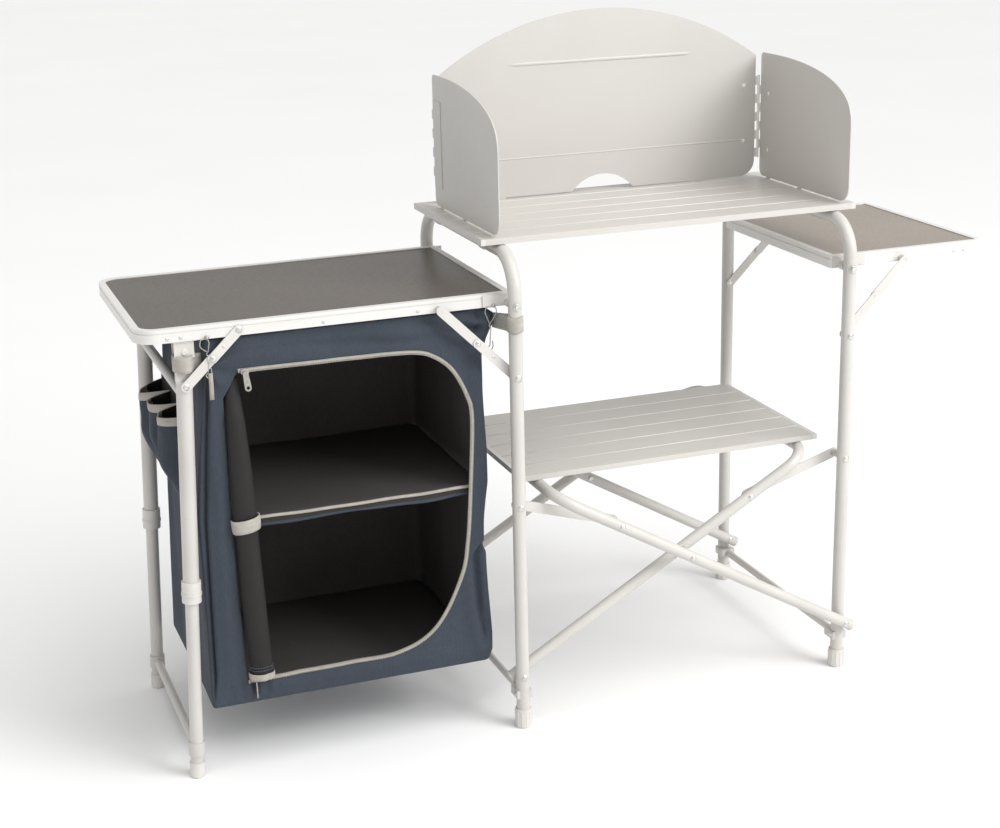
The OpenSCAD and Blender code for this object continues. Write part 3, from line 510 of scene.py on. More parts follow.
# How far the left side bulges out at the front, by height from the floor
LEFT_BULGE = ([0.004, 0.055, 0.169, 0.315, 0.409, 0.509], [0.002, 0.004, 0.009, 0.013, 0.008, 0.001])


def left_edge(z, y):
    return float(np.interp(z - FLOOR, *LEFT_BULGE)) * (1 - ease((y - FRONT) / 0.12))


def side_folds(y, z, seed):
    """How far a side stands out from its plane."""
    h = (z - FLOOR) / HEIGHT
    out = 0.0042 * rough_cloth(y, z, seed, 0.075, 0.3)
    return out * ease(h / 0.12) * ease((1 - h) / 0.1)


RIGHT_EDGE = ([0.0, 0.045, 0.141, 0.209, 0.244, 0.313, 0.373, 0.467, 0.525, 0.556, 0.577, 0.603],
              [0.005, 0.006, -0.001, -0.006, -0.004, 0.006, 0.006, 0.001, 0.001, 0.01, 0.021, 0.022])


def right_edge(z, y):
    """The right side's outline at the front, which dies away towards the back."""
    near = 1 - ease((y - FRONT) / 0.16) * (0.55 if z > ROOF - 0.06 else 1.0)
    return float(np.interp(z - FLOOR, *RIGHT_EDGE)) * near


# Radius of the left front corner, by height from the floor
FRONT_CORNER = ([0.0, 0.02, 0.055, 0.169, 0.315, 0.409, 0.509],
                [0.006, 0.007, 0.012, 0.014, 0.014, 0.013, 0.01])
COLUMNS = {"front": 124, "corner": 12, "side": 46, "rear": 46}


def spread(wall, start, end):
    """A wall's columns from one corner to the next."""
    return [start + (end - start) * k / COLUMNS[wall] for k in range(COLUMNS[wall])]


def shell_row(z, inset):
    """One level of the cupboard's cloth: its points, wall by wall round the cupboard."""
    left, right = left_side(z), RIGHT
    h = z - FLOOR
    r_fl = float(np.interp(h, *FRONT_CORNER))
    pinch = 0.0105 * ease(h / 0.06) * ease((0.575 - h) / 0.09)
    left_front = left - left_edge(z, FRONT)
    r_fr, r_br, r_bl = 0.011, 0.016, 0.024
    calm = ease((z - FLOOR) / 0.02) * (0.35 + 0.65 * ease((TOP - z) / 0.012))
    points = []

    def put(x, y, nx, ny, out):
        d = out * calm - inset
        points.append((x + nx * d, y + ny * d, z))

    def corner(cx, cy, r, start):
        on_left = cx < MIDDLE
        side = side_folds(cy, z, 5.0 if on_left else 9.0) + (0.0 if on_left else right_edge(z, cy))
        face = front_folds(cx, z) if cy < 0 else side_folds(cx, z, 13.0)
        for degrees in spread("corner", start, start + 90):
            a = math.radians(degrees)
            nx, ny = math.cos(a), math.sin(a)
            fx, fy = abs(nx), abs(ny)
            blend = fx * fx + fy * fy
            fold = pinch * hump(degrees, 240, 17) if start == 180 else 0.0
            put(cx + nx * r, cy + ny * r, nx, ny, (side * fx * fx + face * fy * fy) / blend - fold)

    for x in spread("front", left_front + r_fl, right - r_fr):
        put(x, FRONT, 0, -1, front_folds(x, z))
    corner(right - r_fr, FRONT + r_fr, r_fr, -90)
    for y in spread("side", FRONT + r_fr, REAR - r_br):
        put(right, y, 1, 0, side_folds(y, z, 9.0) + right_edge(z, y))
    corner(right - r_br, REAR - r_br, r_br, 0)
    for x in spread("rear", right - r_br, left + r_bl):
        put(x, REAR, 0, 1, side_folds(x, z, 13.0))
    corner(left + r_bl, REAR - r_bl, r_bl, 90)
    for y in spread("side", REAR - r_bl, FRONT + r_fl):
        put(left - left_edge(z, y), y, -1, 0, side_folds(y, z, 5.0))
    corner(left_front + r_fl, FRONT + r_fl, r_fl, 180)
    return points


def inside(x, z, polygon):
    hit = False
    for (x0, z0), (x1, z1) in zip(polygon, polygon[1:] + polygon[:1]):
        if (z0 > z) != (z1 > z) and x < (x1 - x0) * (z - z0) / (z1 - z0) + x0:
            hit = not hit
    return hit


def build_shell():
    low, high = FLOOR + EDGE, TOP - EDGE
    bends = [math.pi / 2 * k / 4 for k in range(1, 5)]
    levels = [(FLOOR + EDGE * (1 - math.sin(a)), EDGE * (1 - math.cos(a))) for a in reversed(bends[:3])]
    rings, middle = 9, 140
    first_row = rings - 1 + len(levels)
    last_row = first_row + middle
    levels += [(low + (high - low) * k / middle, 0.0) for k in range(middle + 1)]
    levels += [(high + EDGE * math.sin(a), EDGE * (1 - math.cos(a))) for a in bends]
    rows = [shell_row(z, inset) for z, inset in levels]
    count = len(rows[0])
    for first, at in ((True, FLOOR), (False, TOP)):
        base = rows[0] if first else rows[-1]
        cx = sum(p[0] for p in base) / count
        cy = sum(p[1] for p in base) / count
        for k in range(1, rings):
            s = 1 - k / rings
            sag = -(FLOOR_SAG if first else ROOF_SAG) * (1 - s * s)
            row = [(cx + (p[0] - cx) * s, cy + (p[1] - cy) * s, at + sag) for p in base]
            if first:
                rows.insert(0, row)
            else:
                rows.append(row)
    verts = [p for row in rows for p in row]
    keep, dropped = [], []
    for face in grid_faces(len(rows), count, closed=True):
        j, i = divmod(face[0], count)
        x, z = (sum(verts[v][k] for v in face) / 4 for k in (0, 2))
        on_wall = first_row <= j < last_row and i < COLUMNS["front"]
        (dropped if on_wall and inside(x, z, opening) else keep).append(face)
    rim = {v for f in dropped for v in f} & {v for f in keep for v in f}
    border = np.array(opening + [opening[0]])
    starts, runs = border[:-1], np.diff(border, axis=0)
    for v in rim:
        p = np.array((verts[v][0], verts[v][2]))
        share = np.sum((p - starts) * runs, axis=1) / np.maximum(np.sum(runs * runs, axis=1), 1e-12)
        nearest = starts + runs * np.clip(share, 0, 1)[:, None]
        x, z = min(nearest, key=lambda q: np.linalg.norm(p - q))
        verts[v] = (x, FRONT - front_folds(x, z), z)
    for first in (True, False):
        row = 0 if first else len(rows) - 1
        base = [row * count + i for i in range(count)]
        centre = len(verts)
        verts.append((sum(verts[b][0] for b in base) / count, sum(verts[b][1] for b in base) / count,
                      verts[base[0]][2] - 0.0005))
        for i in range(count):
            a, b = base[i], base[(i + 1) % count]
            keep.append((a, centre, b) if first else (a, b, centre))
    used = sorted({v for f in keep for v in f})
    index = {v: k for k, v in enumerate(used)}
    obj = add_mesh("cupboard_body", [verts[v] for v in used], [tuple(index[v] for v in f) for f in keep],
                   [NAVY, LINING])
    return thicken(obj, 0.0016, inner=1)


cupboard = [build_shell()]
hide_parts("cupboard_shell")


# ---- zip round the opening ----

def on_front(x, z, proud):
    return np.array((x, FRONT - front_folds(x, z) - proud, z))


def zip_frame():
    """Points along the zip, with the way outwards from the opening at each."""
    cx = sum(p[0] for p in outline) / len(outline)
    cz = sum(p[1] for p in outline) / len(outline)
    result = []
    for k, (x, z) in enumerate(outline):
        x0, z0 = outline[max(k - 1, 0)]
        x1, z1 = outline[min(k + 1, len(outline) - 1)]
        way = unit(np.array((-(z1 - z0), 0.0, x1 - x0)))
        if np.dot(way, np.array((x - cx, 0.0, z - cz))) < 0:
            way = -way
        result.append((x, z, way))
    return result


zip_line = zip_frame()


def build_zip():
    profile = [(-0.0012, -0.0006), (-0.0009, 0.0014), (0.0006, 0.0021), (0.0018, 0.0019), (0.0028, 0.0016),
               (0.0036, 0.0009), (0.0038, -0.0004)]
    points = [on_front(x + way[0] * a, z + way[2] * a, b) for x, z, way in zip_line for a, b in profile]
    tape = add_mesh("zip_tape_piece", points, grid_faces(len(zip_line), len(profile)), [TAPE])
    tooth_parts = []
    box_faces = [(0, 1, 2, 3), (7, 6, 5, 4), (0, 4, 5, 1), (1, 5, 6, 2), (2, 6, 7, 3), (3, 7, 4, 0)]
    run = np.array([(x, z) for x, z, way in zip_line])
    dist = lengths(run)
    ways = np.array([way for x, z, way in zip_line])
    margin, pitch = 0.001, 0.0026
    s = margin
    while s < dist[-1] - margin:
        x, z = np.interp(s, dist, run[:, 0]), np.interp(s, dist, run[:, 1])
        way = unit(np.array([np.interp(s, dist, ways[:, k]) for k in range(3)]))
        along = np.array((-way[2], 0.0, way[0]))
        centre = on_front(x, z, 0.0016) - way * 0.0016
        out = np.array((0.0, -1.0, 0.0))
        corners = []
        for u, v, w in ((-1, -1, -1), (1, -1, -1), (1, 1, -1), (-1, 1, -1),
                        (-0.8, -0.6, 1), (0.8, -0.6, 1), (0.8, 0.6, 1), (-0.8, 0.6, 1)):
            corners.append(centre + along * (u * 0.0008) + way * (v * 0.0013) + out * (w * 0.0009))
        tooth_parts.append((corners, box_faces))
        s += pitch
    teeth = add_parts("zip_teeth_piece", tooth_parts, [TEETH], smooth=False)
    seam_path = [on_front(x + way[0] * 0.0037, z + way[2] * 0.0037, 0.0018) for x, z, way in zip_line]
    seam = add_parts("zip_stitches", dashes(seam_path, (0.0, -1.0, 0.0), 0.0026, 0.0014, 0.0003), [WEBBING])
    return [tape, teeth, seam]


cupboard += build_zip()


# ---- rolled door ----

DOOR_W, DOOR_H, DOOR_R = 0.364, 0.49, 0.11
ROLL_LOW = FLOOR + 0.046
ROLL_HIGH = ROLL_LOW + DOOR_H
TURNS = 5.6

# The roll by height from its foot: middle from the cupboard's right side, half width, half depth, set back
ROLL = ([0.0, 0.035, 0.3, 0.49, 0.545, 0.75, 0.88, 0.943, 1.0],
        [-0.387, -0.3875, -0.3925, -0.3955, -0.3968, -0.4, -0.4015, -0.402, -0.402],
        [0.02, 0.0198, 0.0203, 0.0192, 0.0203, 0.018, 0.0155, 0.0138, 0.012],
        [0.0155, 0.0152, 0.015, 0.0135, 0.0148, 0.0135, 0.0115, 0.0095, 0.008],
        [-0.004, -0.004, -0.004, -0.004, -0.004, -0.004, -0.0025, 0.006, 0.013])


def roll_size(z):
    """Middle, half width, half depth and middle's depth of the roll at a height."""
    t = (z - ROLL_LOW) / DOOR_H
    x, half, deep, back = (float(np.interp(t, ROLL[0], values)) for values in ROLL[1:])
    return RIGHT + x, half, deep, FRONT + back


def roll_point(s, z, proud=0.0):
    """A point on the rolled door: s runs from its outer end, 0, to the end in the core, 1."""
    centre, half, deep, back = roll_size(z)
    turn = 2 * math.pi * TURNS * s + math.radians(100)
    r = 1 - 0.84 * s
    lump = 1 + 0.05 * noise.noise(Vector((math.cos(turn) * 1.3, math.sin(turn) * 1.3, z * 9))) * (1 - s)
    lump += 0.055 * noise.noise(Vector((math.cos(turn) * 4.2, math.sin(turn) * 4.2, z * 5 + 3))) * (1 - s)
    crease = 1 - 0.1 * hump((turn / (2 * math.pi)) % 1.0, 0.78 + 0.04 * math.sin(z * 13), 0.022) * (1 - s)
    k = r * lump * crease
    x = centre + math.cos(turn) * (half * k + proud)
    y = back + math.sin(turn) * (deep * k + proud)
    return np.array((x, y, z))


def build_door():
    around, up = 150, 62
    points = []
    for j in range(up + 1):
        for i in range(around + 1):
            s = i / around
            run = DOOR_W * s
            over = max(run - (DOOR_W - DOOR_R), 0.0)
            cut = DOOR_R - math.sqrt(max(DOOR_R ** 2 - over ** 2, 0.0))
            low = ROLL_LOW + cut + 0.0012 * math.sin(7 * s)
            high = ROLL_HIGH - cut
            points.append(roll_point(s ** 0.72, low + (high - low) * j / up))
    door = add_mesh("rolled_door", points, grid_faces(up + 1, around + 1), [DOOR_LINING])
    steps = 60
    hem_points = []
    for k in range(steps + 1):
        for dz, out in ((-0.005, 0.0), (-0.002, 0.0008), (0.004, 0.0008), (0.006, 0.0)):
            q = roll_point(0.005 + 0.26 * k / steps, ROLL_LOW + 0.003, 0.0011 + out)
            q[2] += dz
            hem_points.append(q)
    hem = add_mesh("door_zip_tape", hem_points, grid_faces(steps + 1, 4), [TAPE])
    thicken(hem, 0.0007, 0.0)
    rows = []
    for h in (0.015, 0.02):
        path = [roll_point(0.02 + 0.17 * k / steps, ROLL_LOW + h, 0.0004) for k in range(steps + 1)]
        rows += dashes(path, (0.0, 0.0, 1.0), 0.0024, 0.0016, 0.0004)
    stitches = add_parts("door_stitches", rows, [THREAD])
    return door, hem, stitches


door, door_tape, door_stitches = build_door()
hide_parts("cupboard_door")


def build_strap():
    """The band that holds the rolled door."""
    middle, height = FLOOR + 0.3055, 0.0215
    steps, rows = 56, 6
    points = []
    for j in range(rows + 1):
        v = j / rows - 0.5
        for i in range(steps + 1):
            turn = 2 * math.pi * (i / steps) + math.radians(95)
            z = middle + v * height + 0.003 * math.cos(turn)
            centre, half, deep, back = roll_size(z)
            grow = 0.0012 - 0.0006 * (2 * v) ** 2
            points.append((centre + math.cos(turn) * (half * 1.02 + grow),
                           back + math.sin(turn) * (deep * 1.03 + grow), z))
    band = add_mesh("door_strap", points, grid_faces(rows + 1, steps + 1), [WEBBING])
    return thicken(band, 0.0015, 1.0)


cupboard += [door, door_tape, door_stitches, build_strap()]


# ---- zip pulls ----

def bar_solid(length, width, thick, taper, hole):
    """A tab hanging down from the origin, with round ends and an eye near its foot."""
    steps, eye_steps = 20, 16
    half, foot = width / 2, width / 2 * taper
    outer = [(half, -0.001)]
    for k in range(steps):
        a = math.pi * k / (steps - 1)
        outer.append((foot * math.cos(a), -length + foot - foot * math.sin(a)))
    outer += [(-half, -0.001), (-half * 0.6, 0.001), (half * 0.6, 0.001)]
    mesh = bmesh.new()
    eye = [(x, foot - length + z) for x, z in ring(hole, eye_steps)]
    for loop in (outer, eye):
        corners = [mesh.verts.new((x, 0.0, z)) for x, z in loop]
        for k, corner in enumerate(corners):
            mesh.edges.new((corner, corners[(k + 1) % len(corners)]))
    bmesh.ops.triangle_fill(mesh, edges=list(mesh.edges), use_beauty=True, use_dissolve=False)
    solid = bmesh.ops.extrude_face_region(mesh, geom=list(mesh.faces))
    for v in solid["geom"]:
        if isinstance(v, bmesh.types.BMVert):
            v.co.y += thick
    bmesh.ops.recalc_face_normals(mesh, faces=mesh.faces)
    data = bpy.data.meshes.new("tab")
    mesh.to_mesh(data)
    mesh.free()
    return [tuple(v.co) for v in data.vertices], [tuple(p.vertices) for p in data.polygons]


def slider(at, swing, puller):
    """A zip slider with its puller; at is its middle, swing the puller's turns about Y, X and Z."""
    section = [(-0.0042, -0.0012), (-0.0036, -0.002), (0.0036, -0.002), (0.0042, -0.0012), (0.0042, 0.0012),
               (0.0036, 0.0019), (-0.0036, 0.0019), (-0.0042, 0.0012)]
    stations = ((-0.006, 0.7), (-0.005, 0.95), (0.0, 1.0), (0.005, 0.86), (0.006, 0.62))
    points = [np.array((x, y * 1.1, z * narrow)) for x, narrow in stations for z, y in section]
    count = len(section)
    faces = grid_faces(len(stations), count, closed=True)
    faces += [tuple(range(count)), tuple(reversed(range((len(stations) - 1) * count, len(stations) * count)))]
    arch = [(-0.004, -0.0018, 0), (-0.0034, -0.0038, 0), (0.0, -0.0046, 0), (0.0034, -0.0038, 0),
            (0.004, -0.0018, 0)]
    verts, faces = gather([(points, faces), sweep(smooth_path(arch, 5), (0, 0, 1), ring(0.0009, 8))])
    middle = Vector(at)
    body = [middle + Vector(v) for v in verts]
    pull_verts, pull_faces = puller
    pull_by = Matrix.Translation(middle + Vector((0, -0.0046, 0)))
    for angle, axis in zip(swing, "YXZ"):
        pull_by = pull_by @ Matrix.Rotation(angle, 4, axis)
    return gather([(body, faces), ([pull_by @ Vector(v) for v in pull_verts], pull_faces)])


def build_pulls():
    lo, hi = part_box("zip_sliders")
    x, y = (lo.x + hi.x) / 2, lo.y + 0.0026
    length, thick, inset = 0.03, 0.0016, 0.003
    wide_tab = bar_solid(length, 0.0085, thick, 1.25, 0.0026)
    plain_tab = bar_solid(length, 0.008, thick, 1.0, 0.0022)
    top = slider((x, y, hi.z - inset), (-0.1, -0.1, 0.0), wide_tab)
    low = slider((x - 0.014, y, lo.z + inset), (0.0, -0.06, 1.2), plain_tab)
    obj = add_parts("zip_pulls", [top, low], [PULLER], smooth=False)
    bevel = obj.modifiers.new("edges", "BEVEL")
    bevel.width = 0.0003
    bevel.segments = 2
    bevel.limit_method = "ANGLE"
    return settle(obj)


zip_pulls = build_pulls()
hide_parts("zip_sliders")
cupboard.append(zip_pulls)


# ---- shelf and floor board ----

def board(name, z, sag, thick, set_back):
    """A stiffened cloth panel across the cupboard, with round corners."""
    columns, rows = 44, 34
    x0, x1 = left_side(z) + 0.006, RIGHT - 0.007
    y0, y1 = FRONT + set_back, REAR - 0.006
    points = []
    for j in range(rows + 1):
        v = j / rows
        y = y0 + (y1 - y0) * v
        nip = sum(max(0.0, 1 - away / 0.032) ** 2 for away in (y - FRONT, REAR - y))
        left, right = x0 + 0.022 * nip, x1 - 0.014 * nip
        for i in range(columns + 1):
            u = i / columns
            dip = sag * (1 - (2 * u - 1) ** 2) * (0.55 + 0.45 * (1 - (2 * v - 1) ** 2))
            wave = 0.001 * noise.noise(Vector((u * 7, v * 6, z * 10)))
            points.append((left + (right - left) * u, y, z - dip + wave))
    obj = add_mesh(name, points, grid_faces(rows + 1, columns + 1), [BOARD_CLOTH])
    thicken(obj, thick, -1.0)
    return obj, [(x, y, top - thick / 2) for x, y, top in points[:columns + 1]]


def build_shelves():
    shelf, edge = board("cupboard_shelf_cloth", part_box("cupboard_shelf")[1].z, 0.0035, 0.0038, 0.01)
    base, _ = board("cupboard_floor_cloth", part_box("cupboard_base")[1].z, 0.0012, 0.004, 0.006)
    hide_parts("cupboard_shelf")
    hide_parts("cupboard_base")
    piping = add_parts("shelf_piping", [sweep(edge, (0, 0, 1), ring(0.0026, 12))], [TAPE])
    points = []
    rows, dark_rows = 8, 5
    for j in range(rows + 1):
        for i, (x, y, z) in enumerate(edge):
            t = i / (len(edge) - 1)
            drop = (0.01 + 0.0035 * math.sin(math.pi * t * 1.7 + 0.5) ** 2) * j / rows
            sway = 0.003 * noise.noise(Vector((t * 9, 0.0, 4.0))) * j / rows
            points.append((x, y + 0.0008 + sway, z - 0.0022 - drop))
    faces = grid_faces(rows + 1, len(edge))
    hem = add_mesh("shelf_hem", points, faces, [DARK, NAVY],
                   [0 if f[0] // len(edge) < dark_rows else 1 for f in faces])
    thicken(hem, 0.0012, 0.0)
    return [shelf, base, piping, hem]


cupboard += build_shelves()


# ---- pockets on the left side ----

def build_pockets():
    lo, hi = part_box("cupboard_pockets")
    foot, mouth = lo.z, hi.z + 0.001
    space = 0.004
    width = (hi.y - lo.y - 2 * space) / 3
    out = left_side(mouth) - lo.x + 0.002
    sheets, backs_and_shade, bands = [], [], []
    columns, rows = 26, 22
    binding = ((0.915, -0.0004), (0.922, 0.001), (0.96, 0.0013), (0.998, 0.0011), (1.006, 0.0),
               (0.999, -0.002), (0.922, -0.0022))
    for n in range(3):
        middle = lo.y + width / 2 + n * (width + space)

        def at(u, v, extra=0.0, open_by=1.0):
            """u across the pocket from -1 to 1, v up from 0 to 1."""
            y = middle + u * width / 2
            top = mouth - 0.004 * (1 - u * u) * (1 + 0.4 * n)
            z = foot + (top - foot) * v
            belly = math.sin(math.pi * min(v * 0.62 + 0.06, 0.5)) ** 1.4
            lump = 0.92 + 0.16 * noise.noise(Vector((n * 5.0 + u, v * 3, 2)))
            bulge = out * open_by * (1 - abs(u) ** 2.6) * belly * lump
            fold = 0.0022 * noise.noise(Vector((u * 3.2 + n * 4, v * 1.6, 11.0))) * v * open_by
            base = left_side(z) - 0.0035
            return (base - max(bulge + fold, 0.0) - extra, y, z)

        def row(v, *how):
            return [at(-1 + 2 * i / columns, v, *how) for i in range(columns + 1)]

        # The backs are flat dark sheets on the wall, from low in each pocket to above its mouth: a dark
        # lining inside the pockets, and painted shade on the wall in and above them.
        for parts, layers in ((sheets, [row(j / rows) for j in range(rows + 1)]),
                              (backs_and_shade, [row(0.2 + 0.93 * j / rows, 0.0016, 0.0) for j in range(rows + 1)]),
                              (bands, [row(*place) for place in binding])):
            parts.append((sum(layers, []), grid_faces(len(layers), columns + 1)))
    pieces = []
    # The pocket backs are the dark sheets of painted shade over the wall in and above the pockets.
    for name, parts, materials, thick in (("side_pockets", sheets, [NAVY, DARK], 0.0013),
                                          ("pocket_backs_painted_shade", backs_and_shade, [DARK], 0.0008),
                                          ("pocket_binding", bands, [WEBBING], 0.0)):
        verts, faces = gather(parts)
        obj = add_mesh(name, verts, [tuple(reversed(f)) for f in faces], materials)
        if thick:
            thicken(obj, thick, inner=len(materials) - 1)
        pieces.append(obj)
    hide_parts("cupboard_pockets")
    return pieces


cupboard += build_pockets()


# ---- webbing round the legs ----

def build_loops():
    """Four straps, each round a leg and back to a corner of the cupboard."""
    low_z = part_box("cupboard_loops")[0].z
    leg_lo, leg_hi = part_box("leg_collars")
    foot_lo, foot_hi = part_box("left_foot_caps")
    brackets_lo, brackets_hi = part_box("leg_brackets")
    hip_x = (brackets_lo.x + brackets_hi.x) / 2
    hip_y = leg_hi.y - (leg_hi.x - leg_lo.x) / 2
    post_x = (foot_lo.x + foot_hi.x) / 2
    post_y = foot_hi.y - (foot_hi.x - foot_lo.x) / 2
    width, gap, steps, rows = 0.025, math.radians(22), 40, 5
    # each leg: its middle, the strap's radius and foot, and where the strap meets the cupboard's corner
    legs = ((hip_x - 0.001, hip_y, 0.0157, low_z, left_side(low_z) + 0.004, -FRONT - 0.012),
            (post_x, post_y, 0.0124, low_z + 0.012, RIGHT + 0.019, -FRONT - 0.004))
    loops = []
    for s in (-1, 1):
        for x, y, r, low, target_x, target_y in legs:
            centre = np.array((x, s * y))
            target = np.array((target_x, s * target_y))
            way = unit(target - centre)
            start = math.atan2(way[1], way[0])
            path = []
            for k in range(steps + 1):
                a = start + gap + (2 * math.pi - 2 * gap) * k / steps
                reach = r * (1 + 0.02 * math.sin(3 * a + s))
                path.append(centre + reach * np.array((math.cos(a), math.sin(a))))
            path = [target + (path[0] - centre) * 0.15] + path + [target + (path[-1] - centre) * 0.15]
            points = []
            for j in range(rows + 1):
                for k, (px, py) in enumerate(path):
                    lean = 0.0012 * math.sin(k * 0.35)
                    tuck = 0.9 if k in (0, len(path) - 1) else 1.0
                    points.append((px, py, low + width * (0.5 + (j / rows - 0.5) * tuck) + lean))
            loops.append((points, grid_faces(rows + 1, len(path))))
    obj = add_parts("leg_webbing", loops, [WEBBING])
    thicken(obj, 0.0014, 0.0)
    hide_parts("cupboard_loops")
    return obj


cupboard.append(build_loops())


# ---- wire hooks under the table's rim ----

# A hook's wire: the eye round the rim's rivet (along, up from the rim), the twisted stem (along, in, up from
# the eye's foot) and the curl that holds the cloth (along, up from the curl's height)
EYE = ((-0.008, -0.011), (-0.0095, -0.005), (-0.006, 0.001),
       (0.006, 0.001), (0.0095, -0.005), (0.008, -0.011))
STEM = ((0.0012, 0.0, -0.001), (-0.0012, 0.0006, -0.006), (0.001, 0.0, -0.011), (0.0, 0.0, -0.024))
CURL = ((-0.001, 0.006), (-0.0045, 0.001), (-0.001, -0.003), (0.004, 0.002), (0.0035, 0.012))
TAB = ((0.0072, 0.664), (0.0076, 0.65), (0.0072, 0.636), (0.0052, 0.622))      # out from the front, height
TAB_HALF = 0.0033


def build_hooks():
    """A bent wire at each upper corner: a triangle from the rim down to a stem that holds the cloth."""
    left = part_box("cupboard_hooks")[0].x
    rim_lo, rim_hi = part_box("left_table_frame")
    top = rim_lo.z - 0.001
    wires, tabs = [], []
    for s in (-1, 1):
        y, near = s * (rim_hi.y + 0.0022), s * (-FRONT + 0.0065)
        for x, lean, foot, size in ((RIGHT + 0.01, 0.001, 0.65, 1.0), (left + 0.006, -0.004, 0.66, 0.72)):
            waist = top - 0.023 * size
            path = [(x - 0.001, near, waist - 0.002)]
            path += [(x + dx * size + lean, y, top + dz) for dx, dz in EYE]
            path += [(x + dx, near - s * dy, waist + dz) for dx, dy, dz in STEM]
            path += [(x + dx, near, foot + dz) for dx, dz in CURL]
            wires.append(sweep(smooth_path(path, 6), (0.0, 1.0, 0.0), ring(0.0009, 8)))
            rivet_x, rivet_z = x + 0.004 + lean, top + 0.0035
            rivet = [(rivet_x, y + s * 0.0028, rivet_z), (rivet_x, y - s * 0.001, rivet_z)]
            wires.append(sweep(rivet, (1.0, 0.0, 0.0), ring(0.003, 14)))
        rows = [(left + 0.008 + dx, s * (-FRONT + out), z) for out, z in TAB for dx in (-TAB_HALF, TAB_HALF)]
        tabs.append((rows, grid_faces(len(TAB), 2)))
    hooks = add_parts("wire_hooks", wires, [PULLER])
    tab = add_parts("hook_tabs", tabs, [TAPE])
    thicken(tab, 0.0014, 0.0)
    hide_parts("cupboard_hooks")
    return [hooks, tab]


cupboard += build_hooks()

for piece in cupboard:
    assign(piece, HOME)

for piece in cupboard:
    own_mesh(piece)


# ---- pressed beads of the windshield ----

back_lo, back_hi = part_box("windshield_back")


def bead(name, x0, x1, z, width, height):
    """A long bead pressed in the back panel, fading out at its ends."""
    steps, count = 60, 9
    points = []
    for k in range(steps + 1):
        t = k / steps
        fade = ease(min(t, 1 - t) / 0.05)
        x = x0 + (x1 - x0) * t
        for i in range(count):
            a = math.pi * i / (count - 1)
            points.append((x, back_lo.y + 0.0003 - height * fade * math.sin(a) - 0.0002,
                           z + width / 2 * math.cos(a) * (0.35 + 0.65 * fade)))
    obj = add_mesh(name, points, [tuple(reversed(f)) for f in grid_faces(steps + 1, count)], [SHIELD])
    assign(obj, "windshield")


bead("shield_upper_bead", back_lo.x + 0.123, back_lo.x + 0.47, back_lo.z + 0.228, 0.006, 0.0016)
bead("shield_lower_bead", back_lo.x + 0.02, back_hi.x - 0.006, back_lo.z + 0.068, 0.003, 0.0007)


# ---- strips between the slats, rivet heads ----

SLAT_COUNT, SLAT_SPACE = 6, 0.003


def seam_strips(name, node, body):
    """The rounded edges of neighbouring slats, as a strip in each gap, coloured pale as a painted highlight
    where the edges catch the light.
    """
    lo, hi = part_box(node)
    pitch = (hi.y - lo.y + SLAT_SPACE) / SLAT_COUNT
    profile = [(-0.0017, -0.0012), (-0.0013, 0.0001), (0.0, 0.0004), (0.0013, 0.0001), (0.0017, -0.0012)]
    parts = []
    for n in range(1, SLAT_COUNT):
        y = lo.y + n * pitch - SLAT_SPACE / 2
        parts.append(sweep([(lo.x + 0.0005, y, hi.z), (hi.x - 0.0005, y, hi.z)], (0.0, 1.0, 0.0), profile))
    assign(add_parts(name, parts, [PAINTED_HIGHLIGHT_SEAM]), body)


def rivet_heads(name, places, body, height=0.42, sideways=False):
    """Domed heads facing along Y, or along X when sideways; height is a share of the radius."""
    parts = []
    for (x, y, z), way, radius in places:
        points, rings, sides = [], 5, 20
        for k in range(rings):
            a = math.pi / 2 * k / rings
            for i in range(sides):
                b = 2 * math.pi * i / sides
                across = radius * math.cos(a) * math.cos(b)
                out = way * radius * height * math.sin(a)
                shift = (out, across) if sideways else (across, out)
                points.append((x + shift[0], y + shift[1], z + radius * math.cos(a) * math.sin(b)))
        top = way * radius * height
        points.append((x + top, y, z) if sideways else (x, y + top, z))
        faces = grid_faces(rings, sides, closed=True)
        last = (rings - 1) * sides
        faces += [(last + i, last + (i + 1) % sides, len(points) - 1) for i in range(sides)]
        if (way > 0) != sideways:
            faces = [tuple(reversed(f)) for f in faces]
        parts.append((points, faces))
    assign(add_parts(name, parts, [STEEL]), body)


# Strips on the slats' rounded edges, coloured pale as a painted highlight.
seam_strips("top_seams", "top_slats", "cooking_top")
seam_strips("shelf_seams", "shelf_slats", "lower_shelf")
HALF_LINK = 0.0075
SECOND_HEAD = 0.42           # the small head's place, as a share of the way along the link
for node, body, middle_left in (("outer_brace_uppers", "outer_brace_upper", True),
                                ("inner_brace_lowers", HOME, True),
                                ("right_brace_lowers", "right_brace_lower", False)):
    lo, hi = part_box(node)
    upper = node.endswith("uppers")
    mid_x, far_x = (lo.x + HALF_LINK, hi.x - HALF_LINK)[::1 if middle_left else -1]
    mid_z, far_z = (lo.z + HALF_LINK, hi.z - HALF_LINK)[::1 if upper else -1]
    second_x, second_z = mid_x + (far_x - mid_x) * SECOND_HEAD, mid_z + (far_z - mid_z) * SECOND_HEAD
    spots = []
    for side, face in ((-1, lo.y), (1, hi.y)):
        plate = face - side * (0.0018 if upper else 0.0002)
        spots += [((mid_x, face - side * 0.0004, mid_z), side, 0.005),
                  ((second_x, plate, second_z), side, 0.0028)]
    rivet_heads(node.rsplit("_", 1)[0] + "_rivets", spots, body, 0.12 if node.startswith("right") else 0.42)
wing_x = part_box("wing_left")[0].x
leaf_lo, leaf_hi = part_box("wing_left_leaf")
rivet_heads("left_wing_rivets",
            [((wing_x, leaf_lo.y + 0.006, z), -1, 0.003) for z in (leaf_lo.z + 0.016, leaf_hi.z - 0.016)],
            "left_wing", 0.35, sideways=True)


# ---- studio and camera ----

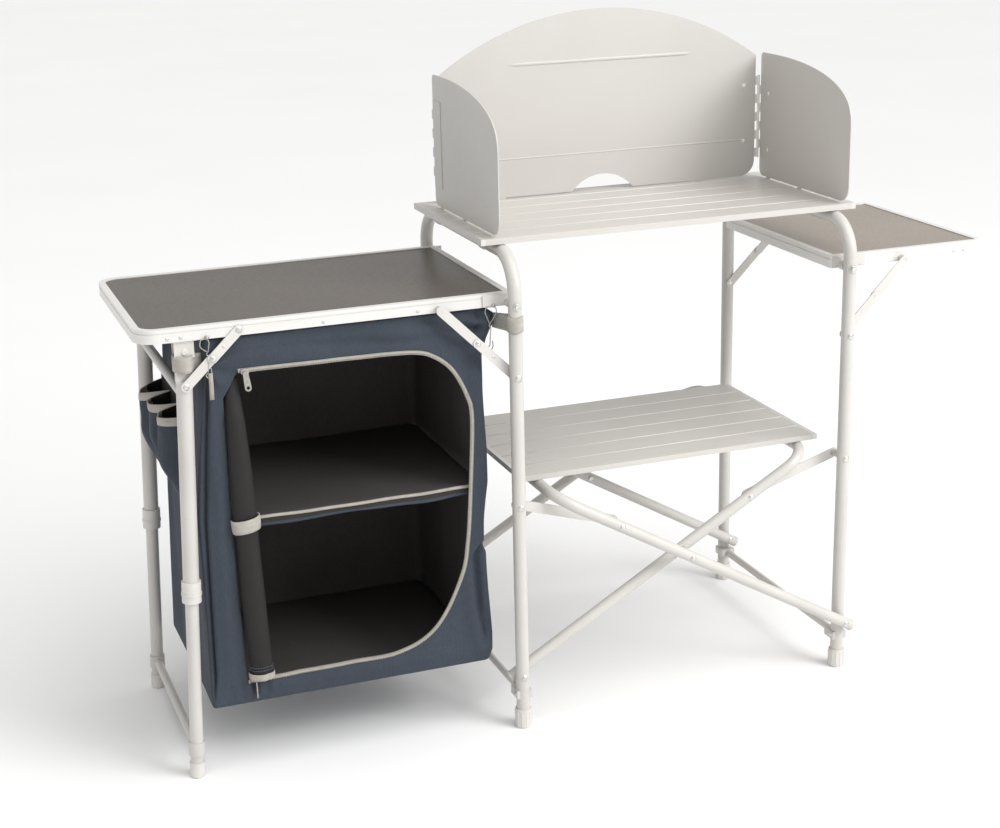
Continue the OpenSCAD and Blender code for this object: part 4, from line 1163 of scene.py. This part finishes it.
CAMERA_AT = (-1.1054, -2.7656, 1.4031)
YAW, PITCH, ROLL = 0.35, -0.305, -0.024
LENS_MM = 64.92


def add_camera():
    data = bpy.data.cameras.new("camera")
    data.sensor_width = 36.0
    data.lens = LENS_MM
    data.clip_end = 200.0
    cam = bpy.data.objects.new("camera", data)
    bpy.context.scene.collection.objects.link(cam)
    ahead = Vector((math.sin(YAW) * math.cos(PITCH), math.cos(YAW) * math.cos(PITCH), math.sin(PITCH)))
    right = Vector((math.cos(YAW), -math.sin(YAW), 0.0))
    up = right.cross(ahead)
    side = right * math.cos(ROLL) + up * math.sin(ROLL)
    top = up * math.cos(ROLL) - right * math.sin(ROLL)
    spin = Matrix((side, top, -ahead)).transposed()
    cam.matrix_world = Matrix.Translation(CAMERA_AT) @ spin.to_4x4()
    bpy.context.scene.camera = cam


def add_light(name, at, aim, size, power):
    data = bpy.data.lights.new(name, "AREA")
    data.shape = "RECTANGLE"
    data.size, data.size_y = size
    data.energy = power
    obj = bpy.data.objects.new(name, data)
    obj.location = at
    obj.rotation_euler = (Vector(aim) - Vector(at)).to_track_quat("-Z", "Y").to_euler()
    bpy.context.scene.collection.objects.link(obj)


def add_studio():
    world = bpy.data.worlds.new("studio")
    world.use_nodes = True
    background = world.node_tree.nodes["Background"].inputs
    background["Color"].default_value = (1.0, 0.995, 0.985, 1)
    background["Strength"].default_value = 0.62
    bpy.context.scene.world = world
    add_light("key", (2.7, -3.2, 2.8), (0.1, 0.0, 0.6), (2.4, 2.0), 140)
    add_light("fill", (-3.6, -1.8, 2.0), (-0.1, 0.0, 0.6), (2.4, 2.4), 8)
    sky = bpy.data.lights.new("sky", "SUN")
    sky.energy = 1.5
    sky.angle = math.radians(60)
    lamp = bpy.data.objects.new("sky", sky)
    lamp.rotation_euler = Vector((-0.22, 0.4, -0.9)).to_track_quat("-Z", "Y").to_euler()
    bpy.context.scene.collection.objects.link(lamp)
    size = 40.0
    floor = add_mesh("floor", [(-size, -size, 0), (size, -size, 0), (size, size, 0), (-size, size, 0)],
                     [(0, 1, 2, 3)], [floor_paper("floor_paper")], smooth=False)
    floor.location.z = -0.0005
    bpy.context.scene.view_settings.view_transform = "Standard"


add_camera()
add_studio()
